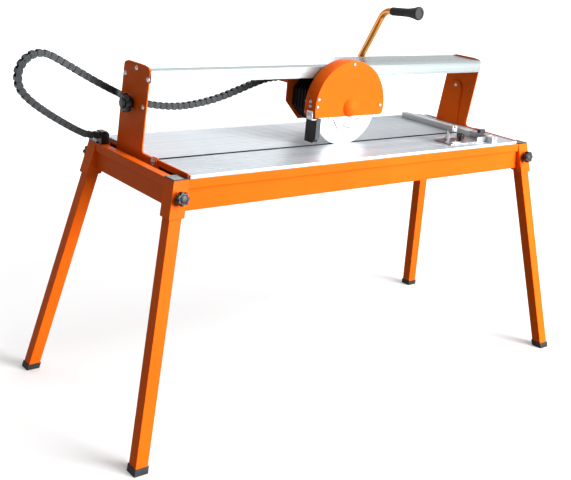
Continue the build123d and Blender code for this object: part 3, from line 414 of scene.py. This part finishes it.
# %% Bevels on the CAD parts
def soften(piece, width, segments=2, angle=30):
    """Rounds the hard edges of a part without moving its faces."""
    weld = piece.modifiers.new("join corners", "WELD")
    weld.merge_threshold = 0.00001
    bevel = piece.modifiers.new("soft edges", "BEVEL")
    bevel.width = width
    bevel.segments = segments
    bevel.limit_method = "ANGLE"
    bevel.angle_limit = math.radians(angle)
    bevel.harden_normals = True


SOFT = {
    1.2: ["rim_rails", "leg_sockets", *[f"leg_{side}" for side in SIDES]],
    0.8: ["guard_cover", "guard_shell", "carriage_plate", "splash_block", "switch_box"],
    0.6: [
        "upright_left", "upright_right", "end_plate_left", "end_plate_right",
        "beam", "chain_anchor", *[f"foot_{side}" for side in SIDES],
    ],
    0.3: ["fence_back", "fence_front", "stop_slide", "stop_arm", "socket_caps", "arm_knob"],
}
for width, names in SOFT.items():
    for name in names:
        soften(NODES[name], width * MM)
print("softened", sum(len(names) for names in SOFT.values()), "parts")


# %% [markdown]
# ## Lofted pieces
# Knobs, the grip and screw heads are turned or moulded shapes: a ring that
# changes size as it climbs. One helper joins rings of points into a closed
# skin, and each piece only says what its rings are.

# %% A loft through rings
def loft(name, rings, material, place=None):
    """A closed skin through rings of equal length, capped at both ends."""
    mesh = bmesh.new()
    rows = [[mesh.verts.new(point) for point in ring] for ring in rings]
    count = len(rings[0])
    for low, high in zip(rows, rows[1:]):
        for k in range(count):
            nxt = (k + 1) % count
            mesh.faces.new((low[k], low[nxt], high[nxt], high[k]))
    mesh.faces.new(list(reversed(rows[0])))
    mesh.faces.new(rows[-1])
    bmesh.ops.recalc_face_normals(mesh, faces=mesh.faces)
    if place is not None:
        bmesh.ops.transform(mesh, matrix=place, verts=mesh.verts)
    for face in mesh.faces:
        face.smooth = True
    data = bpy.data.meshes.new(name)
    mesh.to_mesh(data)
    mesh.free()
    data.set_sharp_from_angle(angle=math.radians(38))
    piece = bpy.data.objects.new(name, data)
    bpy.context.scene.collection.objects.link(piece)
    dress(piece, material)
    return piece


def ring(radius, height, count=64, lobes=0, depth=0.0):
    """A circle of points, or a lobed one."""
    points = []
    for k in range(count):
        turn = 2 * math.pi * k / count
        reach = radius - depth * (0.5 - 0.5 * math.cos(lobes * turn)) ** 1.6
        points.append((reach * math.cos(turn), reach * math.sin(turn), height))
    return points


def standing(origin, direction):
    """A placement whose Z looks along a direction."""
    turn = Vector(direction).to_track_quat("Z", "Y").to_matrix().to_4x4()
    return Matrix.Translation(origin) @ turn


print("a ring of", len(ring(0.01, 0)), "points")


# %% [markdown]
# ## Star knobs
# Six star knobs lock the machine: four clamp the legs and two lock the tilt.
# A star is a circle with scallops, so the ring's radius follows a cosine.
# The rings start on the hub, swell under the star, run up its side, round
# over, and dip to the moulded cap in the middle.

# %% Build the star knobs
def joint_of(child):
    """The joint that moves a body, from the frame's record."""
    return next(j for j in frame["joints"] if j["child"] == child)


def star_knob(node, radius, hub_r, hub_h, thick, stud, lobes, tall=0.0):
    """A moulded star on a hub, with the end of its stud behind."""
    joint = joint_of(node)
    place = standing(joint["pos_m"], joint["axis"])
    cut = radius * 0.20
    top = hub_h + thick
    count = lobes * 20
    rings = [
        ring(stud, -0.001, count),
        ring(stud, 0.0007, count),
        ring(hub_r, 0.0008, count),
        ring(hub_r, hub_h - 0.001, count),
        ring(radius * 0.80, hub_h, count, lobes, cut * 0.7),
        ring(radius * 0.95, hub_h + 0.0008, count, lobes, cut),
        ring(radius, hub_h + 0.003, count, lobes, cut),
        ring(radius, top - 0.0035, count, lobes, cut),
        ring(radius * 0.965, top - 0.0012, count, lobes, cut),
        ring(radius * 0.88, top, count, lobes, cut * 0.9),
        ring(radius * 0.62, top + 0.0002, count, lobes, cut * 0.2),
        ring(radius * 0.56, top - 0.0012, count),
        ring(radius * 0.52, top - 0.0012, count),
        ring(radius * 0.50, top + 0.0010 + tall, count),
        ring(radius * 0.40, top + 0.0016 + tall, count),
        ring(radius * 0.15, top + 0.0018 + tall, count),
    ]
    knob = loft(f"{node}_star", rings, NYLON, place)
    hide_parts(node)
    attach(knob, node)
    return knob


for side in SIDES:
    star_knob(f"leg_knob_{side}", 0.016, 0.008, 0.0056, 0.0128, 0.004, 7)
for side in ("left", "right"):
    star_knob(f"tilt_knob_{side}", 0.022, 0.012, 0.0086, 0.0128, 0.004, 7, 0.004)
print("six star knobs")


# %% [markdown]
# ## The grip
# The grip is a soft sleeve that flares to a mushroom end, so that the hand
# doesn't slip off. Its profile is a short list of radii along its length,
# and shallow ribs repeat along the middle.

# %% Build the grip
def grip_radius(t):
    """Radius of the sleeve at a share t of its length."""
    flare = 6.6 * MM * max(0.0, (t - 0.45) / 0.55) ** 2.2
    rib = 0.35 * MM * (1 - math.cos(2 * math.pi * t * 14)) / 2
    fade = 1.0 if 0.12 < t < 0.82 else 0.0
    return 10.6 * MM + flare - rib * fade


grip_low, grip_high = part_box("handle_grip")
GRIP_X = (grip_low.x + grip_high.x) / 2
GRIP_START = Vector((GRIP_X, 0.009, 0.9363))
GRIP_WAY = Vector((0, -105.5, 6.5)).normalized()
GRIP_LENGTH = 0.099
steps = 90
rings = [ring(0.0093, 0.0, 48), ring(0.0102, 0.0002, 48)]
for k in range(1, steps):
    t = k / steps
    rings.append(ring(grip_radius(t), t * GRIP_LENGTH * 0.95, 48))
# The mushroom end: radius in millimetres and its share of the length.
MUSHROOM = (
    (17.2, 0.955), (17.0, 0.975), (15.4, 0.992), (14.2, 0.9995),
    (10.5, 1.0), (9.8, 0.985), (2.0, 0.98),
)
for radius, height in MUSHROOM:
    rings.append(ring(radius * MM, height * GRIP_LENGTH, 48))
grip = loft("grip_sleeve", rings, RUBBER, standing(GRIP_START, GRIP_WAY))
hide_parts("handle_grip")
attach(grip, "head")
print("grip with", len(grip.data.vertices), "points")


# %% [markdown]
# ## Screws
# Screws repeat, so one screw head is modelled and Geometry Nodes put a copy
# on each place. The places are the points of a small mesh, and an attribute
# on them says which way each head looks. The tree ends by making the copies
# real and giving them their finish, and the result is baked to a plain mesh,
# because an exported file can't hold instances.

# %% One screw head
def screw_head(name, radius, height):
    """A pan head with a cross recess, looking along Z."""
    count = 32
    profile = [(1.0, 0.0), (1.0, 0.25), (0.94, 0.55), (0.78, 0.82), (0.55, 0.96)]
    rings = [ring(radius * r, height * z, count) for r, z in profile]
    for reach, drop in ((0.50, 0.98), (0.44, 0.55), (0.20, 0.45)):
        cross = []
        for k in range(count):
            turn = 2 * math.pi * k / count
            arm = abs(math.cos(2 * turn)) ** 3
            out = radius * (0.16 + (reach - 0.16) * arm)
            cross.append((out * math.cos(turn), out * math.sin(turn), height * drop))
        rings.append(cross)
    head = loft(name, rings, ZINC)
    bpy.context.scene.collection.objects.unlink(head)
    return head


# %% A tree that sets copies on points
def copies_tree(name):
    """Geometry Nodes: one copy of an object on each point, turned to face out."""
    tree = bpy.data.node_groups.new(name, "GeometryNodeTree")
    face = tree.interface
    face.new_socket("Geometry", in_out="INPUT", socket_type="NodeSocketGeometry")
    face.new_socket("Piece", in_out="INPUT", socket_type="NodeSocketObject")
    face.new_socket("Finish", in_out="INPUT", socket_type="NodeSocketMaterial")
    face.new_socket("Geometry", in_out="OUTPUT", socket_type="NodeSocketGeometry")
    add, link = tree.nodes.new, tree.links.new
    start, end = add("NodeGroupInput"), add("NodeGroupOutput")
    points = add("GeometryNodeMeshToPoints")
    info = add("GeometryNodeObjectInfo")
    facing = add("GeometryNodeInputNamedAttribute")
    facing.data_type = "FLOAT_VECTOR"
    facing.inputs["Name"].default_value = "facing"
    turn = add("FunctionNodeAlignRotationToVector")
    turn.axis = "Z"
    put = add("GeometryNodeInstanceOnPoints")
    real = add("GeometryNodeRealizeInstances")
    paint = add("GeometryNodeSetMaterial")
    link(start.outputs["Geometry"], points.inputs["Mesh"])
    link(start.outputs["Piece"], info.inputs["Object"])
    link(facing.outputs["Attribute"], turn.inputs["Vector"])
    link(points.outputs["Points"], put.inputs["Points"])
    link(info.outputs["Geometry"], put.inputs["Instance"])
    link(turn.outputs["Rotation"], put.inputs["Rotation"])
    link(put.outputs["Instances"], real.inputs["Geometry"])
    link(real.outputs["Geometry"], paint.inputs["Geometry"])
    link(start.outputs["Finish"], paint.inputs["Material"])
    link(paint.outputs["Geometry"], end.inputs["Geometry"])
    return tree


def socket_id(tree, name):
    """The identifier that a modifier knows an input by."""
    for item in tree.interface.items_tree:
        if item.item_type == "SOCKET" and item.in_out == "INPUT" and item.name == name:
            return item.identifier
    raise KeyError(name)


def baked(piece, name):
    """The evaluated mesh as a plain object; the source is removed."""
    bpy.context.view_layer.update()
    result = piece.evaluated_get(bpy.context.evaluated_depsgraph_get())
    mesh = bpy.data.meshes.new_from_object(result)
    mesh.name = name
    made = bpy.data.objects.new(name, mesh)
    bpy.context.scene.collection.objects.link(made)
    bpy.data.objects.remove(piece)
    return made


COPIES = copies_tree("copies_on_points")


def set_out(name, spots, piece, material):
    """Copies of a piece at (place, facing) spots, baked to one mesh."""
    mesh = bpy.data.meshes.new(f"{name}_spots")
    mesh.from_pydata([place for place, _ in spots], [], [])
    facing = mesh.attributes.new("facing", "FLOAT_VECTOR", "POINT")
    for k, (_, way) in enumerate(spots):
        facing.data[k].vector = way
    holder = bpy.data.objects.new(f"{name}_spots", mesh)
    bpy.context.scene.collection.objects.link(holder)
    modifier = holder.modifiers.new("copies", "NODES")
    modifier.node_group = COPIES
    modifier[socket_id(COPIES, "Piece")] = piece
    modifier[socket_id(COPIES, "Finish")] = material
    return baked(holder, name)


print("tree has", len(COPIES.nodes), "nodes")


# %% Screws on the hood and the bridge
def around(angle, radius, y):
    """A place round the arbor, at a depth y."""
    turn = math.radians(angle)
    return (ARBOR.x + radius * math.cos(turn), y, ARBOR.z + radius * math.sin(turn))


cover_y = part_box("guard_cover")[1].y - 3 * MM
pan = screw_head("pan_head", 4.2 * MM, 2.3 * MM)
HOOD_SCREWS = ((90, 105), (0, 101), (168, 106.5), (178, 107))
hood_spots = [(around(a, r * MM, cover_y), (0, -1, 0)) for a, r in HOOD_SCREWS]
hood_screws = set_out("hood_screws", hood_spots, pan, ZINC)
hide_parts("guard_screws")
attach(hood_screws, "head")

plate_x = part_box("upright_right")[1].x
big_pan = screw_head("beam_screw_head", 5.5 * MM, 3.1 * MM)
BEAM_SCREWS = ((-12, 783), (38.5, 800.5), (88, 781.5), (5, 720))
bridge_spots = []
for side in (-1, 1):
    for y, z in BEAM_SCREWS:
        bridge_spots.append(((side * plate_x, y * MM, z * MM), (side, 0, 0)))
end_screws = set_out("beam_end_screws", bridge_spots, big_pan, ZINC)
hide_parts("bridge_screws")
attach(end_screws, "bridge")
print(len(hood_spots), "hood screws and", len(bridge_spots), "bridge screws")


# %% [markdown]
# ### Small fittings
# A bent zinc bracket holds the rubber splash block under the hood, with two
# screws of its own. Two more screws close the hood's left rim, and a rivet
# head shows inside each end plate. They are too small to need CAD parts, so
# plain bevelled boxes and the same screw heads do.

# %% Small fittings that CAD leaves out
def extra(piece, body):
    """A piece with no CAD part of its own, which rides a body."""
    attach(piece, body)
    return piece


def plates(name, boxes, material, round_off=0.4):
    """Flat plates from (low corner, high corner) pairs in millimetres."""
    mesh = bmesh.new()
    for low, high in boxes:
        low, high = Vector(low) * MM, Vector(high) * MM
        scale = Matrix.Diagonal((*(high - low), 1))
        bmesh.ops.create_cube(mesh, size=1, matrix=Matrix.Translation((low + high) / 2) @ scale)
    bmesh.ops.bevel(mesh, geom=mesh.edges[:], offset=round_off * MM, segments=2, affect="EDGES")
    data = bpy.data.meshes.new(name)
    mesh.to_mesh(data)
    mesh.free()
    piece = bpy.data.objects.new(name, data)
    bpy.context.scene.collection.objects.link(piece)
    dress(piece, material)
    return piece


hood_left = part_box("guard_shell")[0].x
rim_spots = [((hood_left, -0.045, z), (-1, 0, 0)) for z in (0.7125, 0.7235)]
extra(set_out("hood_rim_screws", rim_spots, pan, ZINC), "head")
BRACKET = [
    ((-104.5, -60, 680.5), (-82, -38, 682.5)),
    ((-104.5, -60, 682), (-102.5, -38, 702)),
    ((-103, -52, 690), (-98, -46, 696)),
]
extra(plates("splash_bracket", BRACKET, ZINC), "head")
bracket_spots = [((-0.1045, y, 0.694), (-1, 0, 0)) for y in (-0.055, -0.043)]
extra(set_out("bracket_screws", bracket_spots, pan, ZINC), "head")
LUG_X = 528 * MM
lug_spots = [((side * LUG_X, 0.057, 0.727), (-side, 0, 0)) for side in (-1, 1)]
extra(set_out("lug_rivets", lug_spots, big_pan, ZINC), "frame")
print("bracket, rim screws and two rivets")


# %% [markdown]
# ## The cable chain
# The motor's lead and the water hose run in a cable chain: short nylon links,
# each a pair of side plates with a bar over and under, hinged to the next.
# A route of given points gives a smooth NURBS line. Geometry Nodes cut
# that line into equal steps, stand one link on each, turn it along the line,
# and run the hose through the middle.

# %% One link
def chain_link(name):
    """One link, 16 mm to the next, lying along X."""
    mesh = bmesh.new()

    def slab(x0, x1, y0, y1, z0, z1):
        middle = Vector(((x0 + x1) / 2, (y0 + y1) / 2, (z0 + z1) / 2)) * MM
        scale = Matrix.Diagonal(((x1 - x0) * MM, (y1 - y0) * MM, (z1 - z0) * MM, 1))
        bmesh.ops.create_cube(mesh, size=1, matrix=Matrix.Translation(middle) @ scale)

    def boss(x, y0, y1, radius):
        middle = Vector((x, (y0 + y1) / 2, 0)) * MM
        turn = Matrix.Rotation(math.pi / 2, 4, "X")
        bmesh.ops.create_cone(
            mesh, cap_ends=True, segments=20, radius1=radius * MM, radius2=radius * MM,
            depth=abs(y1 - y0) * MM, matrix=Matrix.Translation(middle) @ turn,
        )

    for side in (-1, 1):
        slab(-7.4, 7.4, side * 6.1, side * 7.6, -6.4, 6.4)
        slab(6.0, 13.0, side * 4.9, side * 6.1, -4.6, 4.6)
        boss(-3.0, side * 7.4, side * 8.0, 3.0)
        slab(1.5, 5.5, side * 7.4, side * 7.9, -3.4, 3.4)
    slab(-5.4, 3.4, -7.4, 7.4, 6.0, 7.9)
    slab(-5.4, 3.4, -7.4, 7.4, -7.9, -6.0)
    bevels = [edge for edge in mesh.edges if edge.is_manifold and edge.calc_face_angle() > 0.6]
    bmesh.ops.bevel(mesh, geom=bevels, offset=0.35 * MM, segments=1, affect="EDGES")
    bmesh.ops.recalc_face_normals(mesh, faces=mesh.faces)
    data = bpy.data.meshes.new(name)
    mesh.to_mesh(data)
    mesh.free()
    link = bpy.data.objects.new(name, data)
    dress(link, CHAIN_GREY)
    return link


# %% A tree that lays links along a line
def chain_tree(name):
    """Geometry Nodes: links along a curve, with a hose inside."""
    tree = bpy.data.node_groups.new(name, "GeometryNodeTree")
    face = tree.interface
    face.new_socket("Geometry", in_out="INPUT", socket_type="NodeSocketGeometry")
    face.new_socket("Link", in_out="INPUT", socket_type="NodeSocketObject")
    face.new_socket("Pitch", in_out="INPUT", socket_type="NodeSocketFloat")
    face.new_socket("First", in_out="INPUT", socket_type="NodeSocketFloat")
    face.new_socket("Last", in_out="INPUT", socket_type="NodeSocketFloat")
    face.new_socket("Hose radius", in_out="INPUT", socket_type="NodeSocketFloat")
    face.new_socket("Link finish", in_out="INPUT", socket_type="NodeSocketMaterial")
    face.new_socket("Hose finish", in_out="INPUT", socket_type="NodeSocketMaterial")
    face.new_socket("Geometry", in_out="OUTPUT", socket_type="NodeSocketGeometry")
    add, link = tree.nodes.new, tree.links.new
    start, end = add("NodeGroupInput"), add("NodeGroupOutput")
    part = add("GeometryNodeTrimCurve")
    part.mode = "LENGTH"
    steps = add("GeometryNodeResampleCurve")
    steps.mode = "LENGTH"
    tangent = add("GeometryNodeInputTangent")
    turn = add("FunctionNodeAxesToRotation")
    turn.primary_axis, turn.secondary_axis = "X", "Y"
    turn.inputs["Secondary Axis"].default_value = (0, 1, 0)
    info = add("GeometryNodeObjectInfo")
    put = add("GeometryNodeInstanceOnPoints")
    real = add("GeometryNodeRealizeInstances")
    link_paint = add("GeometryNodeSetMaterial")
    section = add("GeometryNodeCurvePrimitiveCircle")
    section.inputs["Resolution"].default_value = 12
    hose = add("GeometryNodeCurveToMesh")
    hose.inputs["Fill Caps"].default_value = True
    smooth = add("GeometryNodeSetShadeSmooth")
    hose_paint = add("GeometryNodeSetMaterial")
    join = add("GeometryNodeJoinGeometry")
    link(start.outputs["Geometry"], part.inputs["Curve"])
    for ours, theirs in (("First", "Start"), ("Last", "End")):
        socket = next(i for i in part.inputs if i.name == theirs and i.enabled)
        link(start.outputs[ours], socket)
    link(part.outputs["Curve"], steps.inputs["Curve"])
    link(start.outputs["Pitch"], steps.inputs["Length"])
    link(steps.outputs["Curve"], put.inputs["Points"])
    link(tangent.outputs["Tangent"], turn.inputs["Primary Axis"])
    link(turn.outputs["Rotation"], put.inputs["Rotation"])
    link(start.outputs["Link"], info.inputs["Object"])
    link(info.outputs["Geometry"], put.inputs["Instance"])
    link(put.outputs["Instances"], real.inputs["Geometry"])
    link(real.outputs["Geometry"], link_paint.inputs["Geometry"])
    link(start.outputs["Link finish"], link_paint.inputs["Material"])
    link(start.outputs["Geometry"], hose.inputs["Curve"])
    link(start.outputs["Hose radius"], section.inputs["Radius"])
    link(section.outputs["Curve"], hose.inputs["Profile Curve"])
    link(hose.outputs["Mesh"], smooth.inputs["Geometry"])
    link(smooth.outputs["Geometry"], hose_paint.inputs["Geometry"])
    link(start.outputs["Hose finish"], hose_paint.inputs["Material"])
    link(link_paint.outputs["Geometry"], join.inputs["Geometry"])
    link(hose_paint.outputs["Geometry"], join.inputs["Geometry"])
    link(join.outputs["Geometry"], end.inputs["Geometry"])
    return tree


CHAIN = chain_tree("chain_along_line")
LINK = chain_link("one_link")
print("chain tree has", len(CHAIN.nodes), "nodes, a link", len(LINK.data.polygons), "faces")

# %% The chain's route, from the rim round the end and along the beam
LOOP_ROUTE = [
    (-0.566, 0.151, 0.628),
    (-0.592, 0.151, 0.628),
    (-0.624, 0.150, 0.643),
    (-0.662, 0.147, 0.665),
    (-0.702, 0.142, 0.690),
    (-0.738, 0.137, 0.716),
    (-0.763, 0.133, 0.741),
    (-0.771, 0.130, 0.766),
    (-0.768, 0.128, 0.791),
    (-0.753, 0.126, 0.812),
    (-0.730, 0.125, 0.823),
    (-0.704, 0.125, 0.821),
    (-0.664, 0.125, 0.799),
    (-0.622, 0.125, 0.775),
    (-0.584, 0.125, 0.754),
    (-0.560, 0.125, 0.742),
]
RUN_ROUTE = [
    (-0.560, 0.125, 0.742),
    (-0.530, 0.125, 0.727),
    (-0.482, 0.125, 0.706),
    (-0.424, 0.125, 0.694),
    (-0.366, 0.125, 0.690),
    (-0.308, 0.125, 0.696),
    (-0.250, 0.125, 0.708),
    (-0.194, 0.125, 0.726),
    (-0.143, 0.125, 0.743),
    (-0.103, 0.125, 0.753),
    (-0.062, 0.125, 0.753),
]


def route_curve(name, points):
    """A smooth NURBS line through the space near its points."""
    curve = bpy.data.curves.new(name, "CURVE")
    curve.dimensions = "3D"
    curve.resolution_u = 12
    spline = curve.splines.new("NURBS")
    spline.points.add(len(points) - 1)
    for point, place in zip(spline.points, points):
        point.co = (*place, 1)
    spline.order_u = 3
    spline.use_endpoint_u = True
    holder = bpy.data.objects.new(name, curve)
    bpy.context.scene.collection.objects.link(holder)
    return holder


def line_of(holder):
    """The points that the smooth line really passes through."""
    bpy.context.view_layer.update()
    result = holder.evaluated_get(bpy.context.evaluated_depsgraph_get())
    mesh = bpy.data.meshes.new_from_object(result)
    points = [v.co.copy() for v in mesh.vertices]
    bpy.data.meshes.remove(mesh)
    return points


def lay_chain(name, node, route):
    """One stretch of chain, laid along its route."""
    holder = route_curve(f"{name}_route", route)
    line = line_of(holder)
    long = sum((b - a).length for a, b in zip(line, line[1:]))
    modifier = holder.modifiers.new("chain", "NODES")
    modifier.node_group = CHAIN
    count = round(long / (16 * MM))
    modifier[socket_id(CHAIN, "Link")] = LINK
    pitch = long / count
    modifier[socket_id(CHAIN, "Pitch")] = pitch * 0.9999
    modifier[socket_id(CHAIN, "First")] = pitch / 2
    modifier[socket_id(CHAIN, "Last")] = long - pitch / 2
    modifier[socket_id(CHAIN, "Hose radius")] = 4.2 * MM
    modifier[socket_id(CHAIN, "Link finish")] = CHAIN_GREY
    modifier[socket_id(CHAIN, "Hose finish")] = RUBBER
    chain = baked(holder, name)
    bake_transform(chain)
    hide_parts(node)
    print(name, count, "links,", round(long, 3), "m")
    return chain


loop = lay_chain(
    "cable_chain_loop", "chain_loop", LOOP_ROUTE,
)
run = lay_chain(
    "cable_chain_run", "chain_run", RUN_ROUTE,
)

# %% [markdown]
# ## The stage
# A pale floor runs out past the picture, so the floor is also the backdrop.
# A soft box and a broad window light the faces towards us from the right, a
# strip above draws a highlight along the beam, and a small box behind is
# mirrored in the left end of the table. The surroundings are bright behind
# and dim on the left, so that aluminium has something to mirror and the left
# faces stay deep.

# %% Floor
floor_mesh = bpy.data.meshes.new("studio_floor")
REACH = 40.0
floor_mesh.from_pydata(
    [(-REACH, -REACH, 0), (REACH, -REACH, 0), (REACH, REACH, 0), (-REACH, REACH, 0)],
    [],
    [(0, 1, 2, 3)],
)
floor = bpy.data.objects.new("studio_floor", floor_mesh)
bpy.context.scene.collection.objects.link(floor)
PAPER, paper_tree, paper = new_finish("studio_paper", 0.9)
tone = graded(paper_tree, grain(paper_tree, 1.5, detail=1.0), 0.68, 0.71)
paper_tree.links.new(tone, paper.inputs["Base Color"])
# Far away the lamps fall off, so the paper glows a little there to stay white.
paper.inputs["Emission Color"].default_value = (1, 1, 1, 1)
reach = paper_tree.nodes.new("ShaderNodeVectorMath")
reach.operation = "LENGTH"
paper_tree.links.new(spot(paper_tree, (0.1, 0.1, 0.1)), reach.inputs[0])
glow = graded(paper_tree, reach.outputs["Value"], 0.12, 0.8, 0.10, 0.45)
paper_tree.links.new(glow, paper.inputs["Emission Strength"])
# Bounce from a white floor would fill the dark sides, so the floor gives none.
floor.visible_diffuse = False
floor.data.materials.append(PAPER)
print("floor", 2 * REACH, "m square")


# %% Lights and surroundings
def soft_box(name, place, target, width, height, power, colour=(1, 1, 1)):
    """A rectangular area light that looks at a target."""
    light = bpy.data.lights.new(name, "AREA")
    light.shape = "RECTANGLE"
    light.size, light.size_y = width, height
    light.energy = power
    light.color = colour
    lamp = bpy.data.objects.new(name, light)
    lamp.location = place
    way = Vector(target) - Vector(place)
    lamp.rotation_euler = way.to_track_quat("-Z", "Y").to_euler()
    bpy.context.scene.collection.objects.link(lamp)
    return lamp


MIDDLE = (0, 0, 0.6)
soft_box("front_box", (1.9, -3.6, 1.5), MIDDLE, 2.4, 1.8, 330)
soft_box("top_strip", (0.3, 0.8, 3.2), MIDDLE, 3.0, 1.0, 16)
soft_box("back_box", (1.8, 3.1, 1.6), MIDDLE, 1.4, 0.9, 9)
key = bpy.data.lights.new("window", "SUN")
key.energy = 2.6
key.angle = math.radians(50)
window = bpy.data.objects.new("window", key)
window.rotation_euler = Vector((-0.45, 0.75, -0.80)).to_track_quat("-Z", "Y").to_euler()
bpy.context.scene.collection.objects.link(window)

world = bpy.data.worlds.new("studio")
bpy.context.scene.world = world
world.use_nodes = True
sky = world.node_tree
around_us = sky.nodes.new("ShaderNodeTexCoord")
lean = sky.nodes.new("ShaderNodeVectorMath")
lean.operation = "DOT_PRODUCT"
lean.inputs[1].default_value = (0.55, 0.55, 0.35)
sky.links.new(around_us.outputs["Generated"], lean.inputs[0])
level = graded(sky, lean.outputs["Value"], 0.34, 1.3, 0.05, 0.65)
sky.links.new(level, sky.nodes["Background"].inputs["Color"])
sky.nodes["Background"].inputs["Strength"].default_value = 0.6
# Past the edge of the paper the eye sees white, while the parts see the graded sky.
seen = sky.nodes.new("ShaderNodeLightPath")
white = sky.nodes.new("ShaderNodeBackground")
choose = sky.nodes.new("ShaderNodeMixShader")
sky.links.new(seen.outputs["Is Camera Ray"], choose.inputs["Fac"])
sky.links.new(sky.nodes["Background"].outputs[0], choose.inputs[1])
sky.links.new(white.outputs[0], choose.inputs[2])
sky.links.new(choose.outputs[0], sky.nodes["World Output"].inputs["Surface"])
white.inputs["Color"].default_value = (1, 1, 1, 1)
bpy.context.scene.view_settings.view_transform = "Standard"
print("three soft boxes, a window and a graded sky")


# %% [markdown]
# ## The camera
# It stands in front of the left end, a little above the beam, and looks down
# along the table. A heading, a look down and a small roll turn it.

# %% Camera
def camera_turn(yaw, pitch, roll):
    """A camera's turn from its heading, its look down and its roll."""
    yaw, pitch, roll = (math.radians(a) for a in (yaw, pitch, roll))
    ahead = Vector(
        (math.sin(yaw) * math.cos(pitch), math.cos(yaw) * math.cos(pitch), -math.sin(pitch))
    )
    right = Vector((math.cos(yaw), -math.sin(yaw), 0))
    up = right.cross(ahead)
    across = right * math.cos(roll) + up * math.sin(roll)
    upward = up * math.cos(roll) - right * math.sin(roll)
    return Matrix((across, upward, -ahead)).transposed().to_4x4()


lens = bpy.data.cameras.new("camera")
lens.sensor_width = 36
lens.lens = 59.10
lens.shift_x = -0.0046
camera = bpy.data.objects.new("camera", lens)
camera.matrix_world = Matrix.Translation((-1.5558, -1.7888, 1.1247)) @ camera_turn(
    39.209, 18.504, 5.112
)
bpy.context.scene.collection.objects.link(camera)
bpy.context.scene.camera = camera
print("camera lens", lens.lens, "mm")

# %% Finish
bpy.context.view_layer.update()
